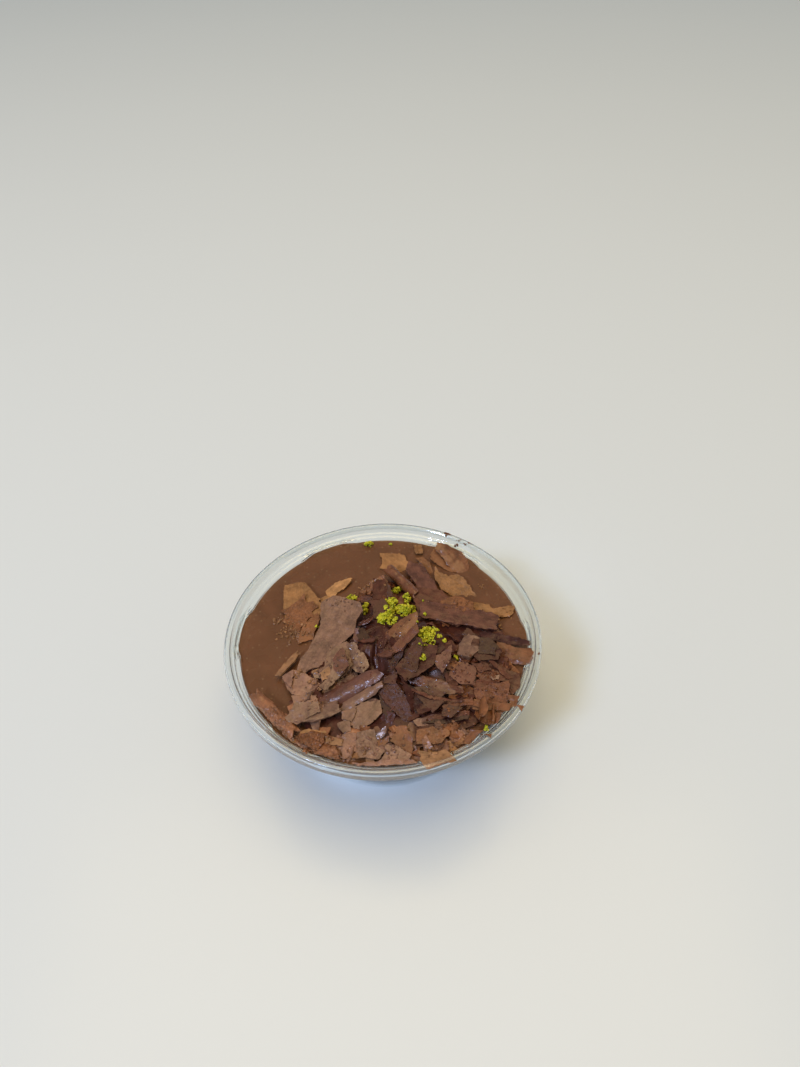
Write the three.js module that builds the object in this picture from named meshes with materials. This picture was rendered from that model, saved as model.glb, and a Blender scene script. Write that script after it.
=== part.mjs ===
// A clear plastic dessert cup, filled with chocolate cream and heaped with chocolate shavings.
//
// Millimetres, +Z up. The origin lies on the cup's axis, on the surface that the foot stands on.
// +X is to the right of the side that the low edge of the heap faces, and +Y points to its back,
// where the cream lies bare.

import * as THREE from 'three';
import { mergeVertices } from 'three/addons/utils/BufferGeometryUtils.js';

// ---------------------------------------------------------------- driving dimensions

const RIM_RADIUS = 58.5;
const RIM_TOP = 47.0;
const WALL = 0.8;
const GAP = 0.35;

const FOOT_RADIUS = 37.2;
const WALL_SLOPE = 0.3;
const FLOOR = 8.0;
const SHOULDER = 34.0;

const RING_RADIUS = 52.3;
const LEDGE = 43.2;
const POCKETS = 6;
const POCKET_DEPTH = 1.3;
const POCKET_START = -16;
const POCKET_WIDTH = 24;
const POCKET_CORNER = 1;

const CREAM_LEVEL = 41.5;
const MENISCUS = 0.4;

// How far the heap reaches from the axis, every 30 degrees from +X: short of the wall at the back.
const HEAP_REACH = [47, 38, 33, 33, 23, 25, 29, 36, 50, 51, 51, 51];
const HEAP_BASE = CREAM_LEVEL + MENISCUS + GAP;
const HEAP_RISE = 9.2;
const HEAP_PEAK = { x: 4, y: -5, spreadX: 20, spreadY: 17 };
const HEAP_EDGE = 1.0;
const HEAP_RAGGED = 0.7;
const HEAP_SEGMENTS = 56;
const HEAP_RINGS = 12;

// The heap keeps this far aside of a large shaving that lies low, and this far under each of them.
const HEAP_MARGIN = 3.9;
const HEAP_SPARE = 0.7;
// Neighbouring spokes of the heap differ by no more than this in length.
const HEAP_SPOKE_STEP = 4;

const SHINGLES = 64;
const SHINGLE_REACH = 48;
const SHINGLE_SEED = 11;
const GOLDEN_ANGLE = Math.PI * (3 - Math.sqrt(5));

// ---------------------------------------------------------------- small tools

const radians = THREE.MathUtils.degToRad;

/** A repeatable stream of numbers from 0 to 1. */
function numbers(seed) {
  let state = seed >>> 0;
  return () => {
    state = (state + 0x6d2b79f5) >>> 0;
    let t = Math.imul(state ^ (state >>> 15), state | 1);
    t ^= t + Math.imul(t ^ (t >>> 7), t | 61);
    return ((t ^ (t >>> 14)) >>> 0) / 4294967296;
  };
}

/** Joins doubled vertices and drops faces with no area, which leaves one closed shell. */
function closedShell(geometry) {
  geometry.deleteAttribute('normal');
  geometry.deleteAttribute('uv');
  const shell = mergeVertices(geometry, 1e-4);
  const index = Array.from(shell.index.array);
  const kept = [];
  for (let i = 0; i < index.length; i += 3) {
    const [a, b, c] = index.slice(i, i + 3);
    if (a !== b && b !== c && c !== a) kept.push(a, b, c);
  }
  shell.setIndex(kept);
  shell.computeVertexNormals();
  return shell;
}

/** Moves every vertex of a geometry to the place that `move` gives for it. */
function reshape(geometry, move) {
  const place = geometry.attributes.position;
  const point = new THREE.Vector3();
  for (let i = 0; i < place.count; i += 1) {
    point.fromBufferAttribute(place, i);
    move(point, i);
    place.setXYZ(i, point.x, point.y, point.z);
  }
  return geometry;
}

/** Turns a profile of [radius, height] pairs about the Z axis. */
function lathe(profile, segments) {
  const points = profile.map(([radius, height]) => new THREE.Vector2(radius, height));
  return new THREE.LatheGeometry(points, segments).rotateX(Math.PI / 2);
}

// ---------------------------------------------------------------- the cup and what fills it

// Each pocket and the plain stretch after it take this many steps round the cup.
const POCKET_STEPS = 5;
const PLAIN_STEPS = 7;
const STEPS_PER_POCKET = POCKET_STEPS + PLAIN_STEPS;

/** Where step k round the cup lies, in degrees, and whether it is in a stacking pocket. */
function cupStep(k) {
  const pitch = 360 / POCKETS;
  const step = k % STEPS_PER_POCKET;
  const inPocket = step < POCKET_STEPS;
  const run = inPocket ? POCKET_WIDTH : pitch - POCKET_WIDTH;
  const steps = inPocket ? POCKET_STEPS - 1 : PLAIN_STEPS - 1;
  const along = inPocket ? step : step - POCKET_STEPS;
  const start = inPocket ? 0 : POCKET_WIDTH;
  const local = start + POCKET_CORNER + (along * (run - 2 * POCKET_CORNER)) / steps;
  return { angle: POCKET_START + pitch * Math.floor(k / STEPS_PER_POCKET) + local, inPocket };
}

/** Turns a profile round the cup's axis, and pushes the stacking ring out at its pockets. */
function roundTheCup(profile) {
  const segments = POCKETS * STEPS_PER_POCKET;
  const body = lathe(profile, segments);
  const perStep = profile.length;
  reshape(body, (point, i) => {
    const { angle, inPocket } = cupStep(Math.floor(i / perStep) % segments);
    const inRing = point.z > SHOULDER + 0.5 && point.z < LEDGE - 0.1;
    const radius = Math.hypot(point.x, point.y);
    const pushed = radius > RING_RADIUS - 4 && inRing && inPocket ? radius + POCKET_DEPTH : radius;
    point.x = pushed * Math.cos(radians(angle));
    point.y = pushed * Math.sin(radians(angle));
  });
  return closedShell(body);
}

function wallRadius(height) {
  return FOOT_RADIUS + WALL_SLOPE * height;
}

/** The cup's wall: foot skirt, raised floor, tapered side, stacking ring, ledge and rolled rim. */
function cupProfile() {
  const ring = RING_RADIUS + WALL;
  return [
    [0, FLOOR],
    [wallRadius(FLOOR) - WALL, FLOOR],
    [FOOT_RADIUS - WALL, 0],
    [FOOT_RADIUS, 0],
    [wallRadius(SHOULDER / 2), SHOULDER / 2],
    [wallRadius(SHOULDER), SHOULDER],
    [ring - 1.6, SHOULDER + 1.0],
    [ring - 0.3, SHOULDER + 2.2],
    [ring, LEDGE - 0.5],
    [RIM_RADIUS - 3.6, LEDGE + 0.4],
    [RIM_RADIUS - 2.6, RIM_TOP - 1.2],
    [RIM_RADIUS - WALL, RIM_TOP - 1.6],
    [RIM_RADIUS - WALL, RIM_TOP - 3.2],
    [RIM_RADIUS, RIM_TOP - 3.2],
    [RIM_RADIUS, RIM_TOP - 1.0],
    [RIM_RADIUS - 0.8, RIM_TOP - 0.2],
    [RIM_RADIUS - 2.2, RIM_TOP],
    [RIM_RADIUS - 3.4, RIM_TOP - 0.6],
    [RIM_RADIUS - 4.4, LEDGE + 1.0],
    [ring + 0.3, LEDGE],
    [RING_RADIUS, LEDGE - 0.8],
    [RING_RADIUS - 0.3, SHOULDER + 2.8],
    [wallRadius(SHOULDER) + 0.2, SHOULDER + 1.2],
    [wallRadius(SHOULDER) - WALL, SHOULDER],
    [wallRadius(FLOOR + 2.5) - WALL, FLOOR + 2.5],
    [wallRadius(FLOOR) - 2.6, FLOOR + WALL],
    [0, FLOOR + WALL],
  ];
}

/** The cream from the floor to its level top, a gap inside the wall, with a raised edge. */
function creamProfile() {
  const inset = WALL + GAP;
  const top = RING_RADIUS - GAP;
  return [
    [0, FLOOR + inset],
    [wallRadius(FLOOR) - 3.0, FLOOR + inset],
    [wallRadius(FLOOR + 3) - inset, FLOOR + 3.0],
    [wallRadius(SHOULDER) - inset, SHOULDER + 0.2],
    [wallRadius(SHOULDER), SHOULDER + 1.6],
    [top - 0.4, SHOULDER + 3.2],
    [top, CREAM_LEVEL + MENISCUS],
    [top - 1.6, CREAM_LEVEL],
    [0, CREAM_LEVEL],
  ];
}

// ---------------------------------------------------------------- the heap of shavings

/** How far the heap may reach from the cup's axis at an angle, with a ragged edge. */
function heapReach(angle) {
  const pitch = 360 / HEAP_REACH.length;
  const from = Math.floor(angle / pitch);
  const ease = 0.5 - 0.5 * Math.cos(Math.PI * (angle / pitch - from));
  const here = HEAP_REACH[from % HEAP_REACH.length];
  const next = HEAP_REACH[(from + 1) % HEAP_REACH.length];
  const ragged = Math.sin(radians(7 * angle + 40)) + Math.sin(radians(13 * angle)) - 1;
  return here + (next - here) * ease + HEAP_RAGGED * ragged;
}

/** Flat flakes that overlap like shingles, each a low wedge with its own place and direction. */
function shingles() {
  const random = numbers(SHINGLE_SEED);
  const made = [];
  for (let i = 0; i < SHINGLES; i += 1) {
    const reach = SHINGLE_REACH * Math.sqrt((i + 0.5) / SHINGLES);
    const angle = i * GOLDEN_ANGLE;
    const heading = 2 * Math.PI * random();
    made.push({
      x: reach * Math.cos(angle),
      y: reach * Math.sin(angle),
      cos: Math.cos(heading),
      sin: Math.sin(heading),
      length: 6 + 4 * random(),
      width: 4 + 3 * random(),
      rise: 0.6 + 1.0 * random(),
    });
  }
  return made;
}

/** How high the shingles stand above the smooth mound at a point. */
function shingleRise(flakes, x, y) {
  let rise = 0;
  for (const flake of flakes) {
    const along = ((x - flake.x) * flake.cos + (y - flake.y) * flake.sin) / flake.length;
    const across = ((y - flake.y) * flake.cos - (x - flake.x) * flake.sin) / flake.width;
    const inside = Math.abs(along) < 1 && Math.abs(across) < 1;
    if (inside) rise = Math.max(rise, flake.rise * (0.5 + 0.5 * along));
  }
  return rise;
}

/** How much room there is above a point, under the lowest of the large shavings near it. */
function roomUnder(shavings, x, y) {
  const ray = new THREE.Raycaster();
  const up = new THREE.Vector3(0, 0, 1);
  const rings = 3;
  const around = 10;
  let room = Infinity;
  for (let k = 0; k <= rings * around; k += 1) {
    const out = HEAP_MARGIN * (Math.ceil(k / around) / rings);
    const aside = (2 * Math.PI * k) / around;
    ray.set(new THREE.Vector3(x + out * Math.cos(aside), y + out * Math.sin(aside), CREAM_LEVEL), up);
    const hit = ray.intersectObjects(shavings, false)[0];
    if (hit) room = Math.min(room, hit.distance - (HEAP_BASE - CREAM_LEVEL) - HEAP_SPARE);
  }
  return room;
}

/** How far out the heap goes at an angle before a low-lying shaving leaves it too little room. */
function clearReach(shavings, angle) {
  const most = heapReach(angle);
  for (let reach = 10; reach < most; reach += 1) {
    const x = reach * Math.cos(radians(angle));
    const y = reach * Math.sin(radians(angle));
    if (roomUnder(shavings, x, y) < HEAP_EDGE / 2) return reach - HEAP_MARGIN / 2;
  }
  return most;
}

/** One solid for the many small shavings: a scaly mound that fills the room under the large ones. */
function heap(shavings) {
  const flakes = shingles();
  const angles = Array.from({ length: HEAP_SEGMENTS }, (_, k) => (360 * k) / HEAP_SEGMENTS);
  const clear = angles.map((angle) => clearReach(shavings, angle));
  const reaches = clear.map((reach, k) => {
    const next = clear[(k + 1) % HEAP_SEGMENTS];
    return Math.min(reach, clear.at(k - 1) + HEAP_SPOKE_STEP, next + HEAP_SPOKE_STEP);
  });
  const profile = [[0, 0], [1, 0]];
  for (let ring = 0; ring <= HEAP_RINGS; ring += 1) profile.push([1 - ring / HEAP_RINGS, 1]);
  const mound = lathe(profile, HEAP_SEGMENTS);
  reshape(mound, (point, i) => {
    const k = Math.floor(i / profile.length) % HEAP_SEGMENTS;
    const share = Math.hypot(point.x, point.y);
    const x = share * reaches[k] * Math.cos(radians(angles[k]));
    const y = share * reaches[k] * Math.sin(radians(angles[k]));
    const offX = (x - HEAP_PEAK.x) / HEAP_PEAK.spreadX;
    const offY = (y - HEAP_PEAK.y) / HEAP_PEAK.spreadY;
    const dome = HEAP_RISE * Math.exp(-0.5 * (offX * offX + offY * offY));
    const full = HEAP_EDGE + Math.min(1, (1 - share) * 4) * (dome + shingleRise(flakes, x, y));
    const isTop = point.z > 0.5;
    const rise = isTop ? Math.min(full, Math.max(HEAP_EDGE / 2, roomUnder(shavings, x, y))) : 0;
    point.set(x, y, HEAP_BASE + rise);
  });
  return closedShell(mound);
}

// ---------------------------------------------------------------- the large shavings

/**
 * One shaving, made flat and then shaped. `size` is length, width and thickness, along X, Y and Z.
 * `ends` are the shares of the width left at its two ends, and `sweep` bows it sideways, in mm.
 * `curl` rolls it about its length, `arch` bends it along its length and `twist` turns one end
 * against the other, all in degrees over the whole piece. Positive curl and arch raise the edges.
 * `spiral` is what each full turn of a roll adds to its radius.
 */
function shaving(shape) {
  const { size: [length, width, thickness], steps: [alongSteps, acrossSteps], seed } = shape;
  const { ends = [0.7, 0.7], sweep = 0, curl = 0, arch = 0, twist = 0, spiral = 0, torn = 1 } = shape;
  const sheet = new THREE.BoxGeometry(length, width, thickness, alongSteps, acrossSteps, 1);
  const random = numbers(seed);
  const phases = [0, 0, 0, 0, 0, 0].map(() => 2 * Math.PI * random());
  const ragged = (t, first) => torn * (0.10 * Math.sin(3 * t + phases[first])
    + 0.08 * Math.sin(7 * t + phases[first + 1]) + 0.05 * Math.sin(13 * t + phases[first + 2]));
  const curlTurn = radians(curl || 0.01);
  const archTurn = radians(arch || 0.01);
  const curlRadius = width / curlTurn;
  const archRadius = length / archTurn;
  reshape(sheet, (point) => {
    const along = (2 * point.x) / length;
    const across = (2 * point.y) / width;
    const end = ends[along < 0 ? 0 : 1];
    const taper = 1 - (1 - end) * Math.abs(along) ** 2.2;
    const flatX = (length / 2) * along * (1 + ragged(across, 0));
    const share = across * taper * (1 + ragged(along, 3));
    const curlAngle = (share * curlTurn) / 2;
    const curlArm = curlRadius + (spiral * curlAngle) / (2 * Math.PI) - point.z;
    const rolledY = curlArm * Math.sin(curlAngle) + sweep * (1 - along * along);
    const rolledZ = curlRadius - curlArm * Math.cos(curlAngle);
    const archAngle = (flatX / length) * archTurn;
    const archArm = archRadius - rolledZ;
    const twistAngle = (radians(twist) * along) / 2;
    const bentZ = archRadius - archArm * Math.cos(archAngle);
    point.x = archArm * Math.sin(archAngle);
    point.y = rolledY * Math.cos(twistAngle) - bentZ * Math.sin(twistAngle);
    point.z = rolledY * Math.sin(twistAngle) + bentZ * Math.cos(twistAngle);
  });
  return closedShell(sheet);
}

// `at` is the middle of the shaving seen from above and `heading` the direction of its length.
// `pitch` raises the far end of its length, and `bank` raises its left edge.
// The list runs from the lowest shavings to the highest, because each is laid on those before it.
const SHAVINGS = [
  { name: 'flat_shaving_left', at: [-32.4, 14.6, 43.6], heading: 97, size: [26, 15.5, 1.1],
    ends: [0.5, 0.72], steps: [9, 5], arch: -5, curl: -10, torn: 0.7, seed: 3 },
  { name: 'flat_shaving_back_left', at: [-17.4, 24.4, 43.6], heading: 58, size: [12.5, 5.6, 0.9],
    ends: [0.6, 0.5], sweep: 1.2, steps: [6, 3], torn: 0.7, seed: 8 },
  { name: 'flat_shaving_back', at: [4.4, 39.4, 42.5], heading: -80, size: [10, 9.6, 0.9],
    ends: [0.85, 0.8], steps: [4, 4], curl: 4, torn: 0.7, seed: 21 },
  { name: 'small_chip_back', at: [14.8, 46.4, 42.1], heading: -85, size: [5.6, 4.0, 0.8],
    ends: [0.9, 0.6], steps: [3, 2], torn: 0.7, seed: 5 },
  { name: 'stick_shaving_left', at: [-34.0, -12.0, 44.2], heading: 56, size: [13, 2.8, 1.0],
    ends: [0.9, 0.6], steps: [6, 2], twist: 24, bank: -14, seed: 34 },
  { name: 'long_roll_left_wall', at: [-37.4, -33.4, 43.6], heading: -47, size: [22.5, 6.8, 0.9],
    ends: [0.6, 0.8], steps: [9, 7], curl: -180, bank: 18, torn: 0.6, seed: 13 },
  { name: 'flat_shaving_right', at: [38.6, 12.2, 44.5], heading: -2, size: [25, 6.4, 0.9],
    ends: [0.7, 0.8], steps: [9, 3], pitch: 1, sweep: -1.2, seed: 55 },
  { name: 'dark_strip_right', at: [44.2, -3.6, 45.6], heading: -10, size: [20.5, 6.0, 0.9],
    ends: [0.8, 0.6], steps: [7, 5], curl: 120, pitch: 4, bank: 16, seed: 89 },
  { name: 'wide_shaving_right_back', at: [29.2, 23.4, 44.6], heading: -58, size: [16, 12.5, 1.0],
    ends: [0.8, 0.65], steps: [6, 4], curl: -12, bank: 3, seed: 27 },
  { name: 'dark_slab_back', at: [16.0, 26.4, 45.0], heading: -68, size: [21, 8.0, 1.0],
    ends: [0.75, 0.7], steps: [7, 3], curl: -20, bank: 3, pitch: 3, seed: 61 },
  { name: 'half_tube_back_right', at: [29.6, 34.8, 44.0], heading: -66, size: [16.5, 13, 0.9],
    ends: [0.95, 0.55], steps: [6, 8], curl: -150, bank: -6, pitch: 2, torn: 0.6, seed: 144 },
  { name: 'half_tube_right_rim', at: [48.6, -12.6, 46.5], heading: -10, size: [13.5, 11, 1.0],
    ends: [0.95, 0.7], steps: [5, 6], curl: 84, pitch: 6, torn: 0.6, seed: 233 },
  { name: 'folded_slab_front_left', at: [-22.4, -33.8, 43.9], heading: 17, size: [15.5, 6.6, 1.0],
    ends: [0.5, 0.7], steps: [6, 4], curl: -46, bank: -8, torn: 0.6, seed: 17 },
  { name: 'flat_slab_front', at: [-7.0, -31.8, 44.8], heading: 6, size: [12.5, 8.4, 1.0],
    ends: [0.75, 0.6], steps: [5, 3], bank: 4, torn: 0.7, seed: 42 },
  { name: 'open_curl_front_right', at: [34.2, -36.2, 44.0], heading: 82, size: [7.6, 12.5, 0.8],
    ends: [0.95, 0.9], steps: [3, 12], curl: 290, spiral: 1.4, bank: 30, torn: 0.5, seed: 6 },
  { name: 'stacked_sheet_right', at: [38.2, -26.0, 44.8], heading: -6, size: [12.2, 8.0, 1.1],
    ends: [0.9, 0.9], steps: [5, 3], bank: 6, torn: 0.6, seed: 9 },
  { name: 'long_strip_front_right', at: [18.6, -24.0, 46.4], heading: -16, size: [20, 4.8, 0.9],
    ends: [0.6, 0.5], steps: [8, 3], twist: -46, arch: -14, bank: 14, torn: 0.7, seed: 77 },
  { name: 'chunk_shaving_right', at: [31.2, -8.6, 47.2], heading: 62, size: [10.0, 7.4, 1.6],
    ends: [0.7, 0.7], steps: [4, 3], curl: -18, bank: -3, seed: 98 },
  { name: 'wide_slab_right', at: [28.6, 7.0, 46.7], heading: -12, size: [30, 9.0, 1.0],
    ends: [0.8, 0.7], steps: [10, 3], curl: -14, bank: 3, pitch: -4, torn: 0.7, seed: 65 },
  { name: 'wide_slab_left', at: [-19.3, -1.2, 48.4], heading: 66, size: [31, 13.5, 1.2],
    ends: [0.6, 0.55], steps: [10, 5], curl: -20, arch: -8, bank: -2, pitch: 3, seed: 10 },
  { name: 'shiny_curl_front', at: [-10.8, -23.8, 47.0], heading: 36, size: [20, 11.5, 0.9],
    ends: [0.75, 0.6], steps: [8, 10], curl: -190, spiral: 0.6, bank: -14, torn: 0.5, seed: 19 },
  { name: 'slab_centre', at: [3.4, -6.6, 54.0], heading: 42, size: [19.5, 8.6, 1.1],
    ends: [0.7, 0.6], steps: [7, 3], curl: -14, bank: -6, torn: 0.7, seed: 31 },
  { name: 'small_roll_back', at: [7.6, 25.0, 45.6], heading: -54, size: [19, 8.5, 0.8],
    ends: [0.85, 0.8], steps: [6, 9], curl: -250, bank: 10, torn: 0.6, seed: 47 },
];

/**
 * The least height that `above` has over the meshes under it: from its own points straight down,
 * and from theirs straight up.
 */
function clearance(above, below) {
  const ray = new THREE.Raycaster();
  const point = new THREE.Vector3();
  const box = new THREE.Box3().setFromObject(above);
  let least = Infinity;
  const probe = (from, to, direction, within) => {
    const place = from.geometry.attributes.position;
    const up = new THREE.Vector3(0, 0, direction);
    for (let i = 0; i < place.count; i += 1) {
      point.fromBufferAttribute(place, i).applyMatrix4(from.matrixWorld);
      if (within && (point.x < within.min.x || point.x > within.max.x
        || point.y < within.min.y || point.y > within.max.y)) continue;
      ray.set(point, up);
      const hit = ray.intersectObjects(to, false)[0];
      if (hit) least = Math.min(least, hit.distance);
    }
  };
  probe(above, below, -1, null);
  for (const mesh of below) probe(mesh, [above], 1, box);
  return least;
}

/** Lowers a shaving to its own height, or to a gap above what is already in place under it. */
function layDown(piece, height, placed) {
  piece.position.z = 2 * RIM_TOP;
  piece.updateMatrixWorld(true);
  const drop = clearance(piece, placed) - GAP;
  piece.position.z = Math.max(height, piece.position.z - drop);
  piece.updateMatrixWorld(true);
}

// ---------------------------------------------------------------- materials

const CLEAR_PLASTIC = { color: 0xe8ecec, roughness: 0.08, metalness: 0 };
const CREAM = { color: 0x6b4b30, roughness: 0.25, metalness: 0 };
const DARK_CHOCOLATE = { color: 0x5a3c2c, roughness: 0.5, metalness: 0 };
const PALE_CHOCOLATE = { color: 0x9a6e4a, roughness: 0.6, metalness: 0 };

function mesh(name, geometry, look) {
  const made = new THREE.Mesh(geometry, new THREE.MeshStandardMaterial(look));
  made.name = name;
  return made;
}

// ---------------------------------------------------------------- the whole

const PALE = ['flat_shaving_left', 'flat_shaving_back_left', 'flat_shaving_back', 'small_chip_back'];

const cup = mesh('cup', roundTheCup(cupProfile()), CLEAR_PLASTIC);
const cream = mesh('chocolate_cream', roundTheCup(creamProfile()), CREAM);
const shavings = [];

for (const shape of SHAVINGS) {
  const [x, y, height] = shape.at;
  const look = PALE.includes(shape.name) ? PALE_CHOCOLATE : DARK_CHOCOLATE;
  const piece = mesh(shape.name, shaving(shape), look);
  piece.position.set(x, y, 0);
  piece.rotation.set(radians(shape.bank ?? 0), -radians(shape.pitch ?? 0), radians(shape.heading), 'ZYX');
  layDown(piece, height, [cup, cream, ...shavings]);
  shavings.push(piece);
}

const mound = mesh('shavings_heap', heap(shavings), DARK_CHOCOLATE);

const group = new THREE.Group();
group.add(cup, cream, mound, ...shavings);

export default group;
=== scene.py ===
# A cup of profiteroles: a clear plastic cup of chocolate cream under a heap of chocolate shavings.
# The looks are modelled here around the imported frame. Metres, +Z up, the cup's axis at the origin.

import math
import random
from itertools import combinations

import bpy
from mathutils import Euler, Matrix, Vector
from mathutils.bvhtree import BVHTree


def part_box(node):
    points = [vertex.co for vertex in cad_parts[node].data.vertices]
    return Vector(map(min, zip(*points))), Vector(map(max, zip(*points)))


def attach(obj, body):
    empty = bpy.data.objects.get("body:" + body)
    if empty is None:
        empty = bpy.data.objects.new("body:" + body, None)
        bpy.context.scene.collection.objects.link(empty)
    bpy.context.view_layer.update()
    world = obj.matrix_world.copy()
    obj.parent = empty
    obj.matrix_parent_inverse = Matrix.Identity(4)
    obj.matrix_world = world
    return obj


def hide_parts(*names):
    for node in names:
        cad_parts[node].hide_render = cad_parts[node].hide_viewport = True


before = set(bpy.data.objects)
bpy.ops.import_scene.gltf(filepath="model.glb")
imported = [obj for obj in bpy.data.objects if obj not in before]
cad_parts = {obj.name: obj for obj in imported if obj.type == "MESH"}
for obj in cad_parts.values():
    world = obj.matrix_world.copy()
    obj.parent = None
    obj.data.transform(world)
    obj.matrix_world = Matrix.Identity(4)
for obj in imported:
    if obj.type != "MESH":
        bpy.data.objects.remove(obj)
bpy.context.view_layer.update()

MM = 0.001

# ---------------------------------------------------------------- sizes, from the frame

RIM_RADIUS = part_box("cup")[1].x / MM
RIM_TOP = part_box("cup")[1].z / MM
MENISCUS = 0.4
CREAM_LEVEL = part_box("chocolate_cream")[1].z / MM - MENISCUS

# The cup, in millimetres.
WALL = 0.5
RIM_WALL = 0.4
FOOT_RADIUS = 37.2
WALL_SLOPE = 0.3
FLOOR = 8.0
SHOULDER = 34.0
RING_RADIUS = 53.1
LEDGE = 43.2
POCKETS = 6
POCKET_DEPTH = 1.3
POCKET_START = -16
POCKET_WIDTH = 24
POCKET_LOW = SHOULDER + 0.9
POCKET_HIGH = LEDGE - 0.1
POCKET_REACH = RING_RADIUS - 4
ROUND_STEPS = 180
CORNER = 0.2
SEAM = 0.01

# ---------------------------------------------------------------- small tools


def select_none():
    """Leaves no object selected."""
    for other in bpy.context.selected_objects:
        other.select_set(False)


def alone(*pieces):
    """Selects these objects and nothing else, the first one active."""
    select_none()
    for piece in pieces:
        piece.select_set(True)
    bpy.context.view_layer.objects.active = pieces[0]


def edit(piece, chosen=None):
    """Opens a piece in edit mode, with all its points selected or those that chosen() picks."""
    alone(piece)
    bpy.ops.object.mode_set(mode="EDIT")
    bpy.ops.mesh.select_mode(type="VERT")
    bpy.ops.mesh.select_all(action="DESELECT" if chosen else "SELECT")
    if chosen is None:
        return
    bpy.ops.object.mode_set(mode="OBJECT")
    for vertex in piece.data.vertices:
        vertex.select = chosen(vertex)
    bpy.ops.object.mode_set(mode="EDIT")


def done():
    """Leaves edit mode."""
    bpy.ops.object.mode_set(mode="OBJECT")


def copy_of(source, name):
    """A copy of an object with a mesh of its own."""
    copy = bpy.data.objects.new(name, source.data.copy())
    bpy.context.scene.collection.objects.link(copy)
    return copy


def modify(piece, kind, **settings):
    """Adds a modifier and applies it."""
    modifier = piece.modifiers.new(kind, kind)
    for name, value in settings.items():
        setattr(modifier, name, value)
    if kind == "SUBSURF":
        modifier.render_levels = modifier.levels
    alone(piece)
    bpy.ops.object.modifier_apply(modifier=modifier.name)


def cloud(name, size, depth=2):
    """A soft lumpy pattern for modifiers, with lumps of this size in millimetres."""
    texture = bpy.data.textures.new(name, "CLOUDS")
    texture.noise_scale = size * MM
    texture.noise_depth = depth
    return texture


def cracks(name, size):
    """An angular pattern for modifiers, cell by cell, with cells of this size in millimetres."""
    texture = bpy.data.textures.new(name, "VORONOI")
    texture.noise_scale = size * MM
    texture.color_mode = "POSITION"
    return texture


TEAR = cloud("tear", 1.5)
WRINKLE = cloud("wrinkle", 3.4, 1)
GRAIN = cloud("grain", 0.7, 1)
SNAP = cracks("snap", 1.6)
# Chocolate's own grain stands out by this, in millimetres.
GRAIN_DEPTH = 0.06


def rough_up(piece, texture, strength, direction="NORMAL", group=""):
    """Pushes the surface about by a pattern, by up to half this many millimetres each way."""
    modify(
        piece, "DISPLACE", texture=texture, texture_coords="LOCAL", direction=direction,
        strength=strength * MM, mid_level=0.5, vertex_group=group,
    )


def mark_lie(piece):
    """Writes to each point how far it lies along and across the piece, in metres."""
    points = [vertex.co for vertex in piece.data.vertices]
    mid_x = sum(point.x for point in points) / len(points)
    mid_y = sum(point.y for point in points) / len(points)
    long_ways = sum((point.x - mid_x) ** 2 - (point.y - mid_y) ** 2 for point in points)
    aslant = sum(2 * (point.x - mid_x) * (point.y - mid_y) for point in points)
    heading = math.atan2(aslant, long_ways) / 2
    turn = Matrix.Rotation(-heading, 3, "Z")
    lie = piece.data.attributes.new("lie", "FLOAT_VECTOR", "POINT")
    lie.data.foreach_set("vector", [part for point in points for part in turn @ point])


def join(name, pieces):
    """Makes one piece of several, with its place in its mesh."""
    alone(*pieces)
    bpy.ops.object.join()
    joined = bpy.context.object
    bpy.ops.object.transform_apply(location=True, rotation=True, scale=True)
    joined.name = name
    joined.data.name = name
    return joined


def finish_piece(piece, material, slot, *nodes, angle=40):
    """Gives a piece its smooth shading, its material and its place in the frame."""
    alone(piece)
    bpy.ops.object.shade_smooth_by_angle(angle=math.radians(angle))
    piece.data.materials.clear()
    piece.data.materials.append(material)
    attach(piece, "root")
    if nodes:
        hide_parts(*nodes)
    return piece


# ---------------------------------------------------------------- materials


def linear(hex_colour):
    """A hex colour in sRGB as linear red, green, blue and alpha."""
    parts = [int(hex_colour[i : i + 2], 16) / 255 for i in (1, 3, 5)]
    return [p / 12.92 if p <= 0.04045 else ((p + 0.055) / 1.055) ** 2.4 for p in parts] + [1.0]


def add(tree, kind, inputs=None, links=None, **settings):
    """Adds a node with its settings, its input values and its links by socket name or number."""
    made = tree.nodes.new(kind)
    for name, value in settings.items():
        setattr(made, name, value)
    for socket, value in (inputs or {}).items():
        made.inputs[socket].default_value = value
    for socket, source in (links or {}).items():
        tree.links.new(source, made.inputs[socket])
    return made


def new_material(name):
    """An empty material, its node tree and its output node."""
    material = bpy.data.materials.new(name)
    material.use_nodes = True
    tree = material.node_tree
    tree.nodes.clear()
    return material, tree, tree.nodes.new("ShaderNodeOutputMaterial")


def spread(tree, source, low, high, low_to, high_to):
    """Maps a pattern from one range of values to another."""
    return add(
        tree, "ShaderNodeMapRange", {1: low, 2: high, 3: low_to, 4: high_to}, {0: source}
    ).outputs[0]


def multiply(tree, one, other):
    """The product of two patterns."""
    return add(
        tree, "ShaderNodeMath", {}, {0: one, 1: other}, operation="MULTIPLY"
    ).outputs[0]


def noise(tree, place, size, detail=2.0, roughness=0.5, distortion=0.0):
    """A cloudy pattern with lumps of this size in millimetres."""
    inputs = {
        "Scale": 1 / (size * MM), "Detail": detail, "Roughness": roughness,
        "Distortion": distortion,
    }
    return add(tree, "ShaderNodeTexNoise", inputs, {0: place}).outputs[0]


def cells(tree, place, size, dimensions="3D"):
    """The distance to the nearest of many scattered points, this many millimetres apart."""
    return add(
        tree, "ShaderNodeTexVoronoi", {"Scale": 1 / (size * MM)}, {0: place},
        voronoi_dimensions=dimensions,
    ).outputs["Distance"]


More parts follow.
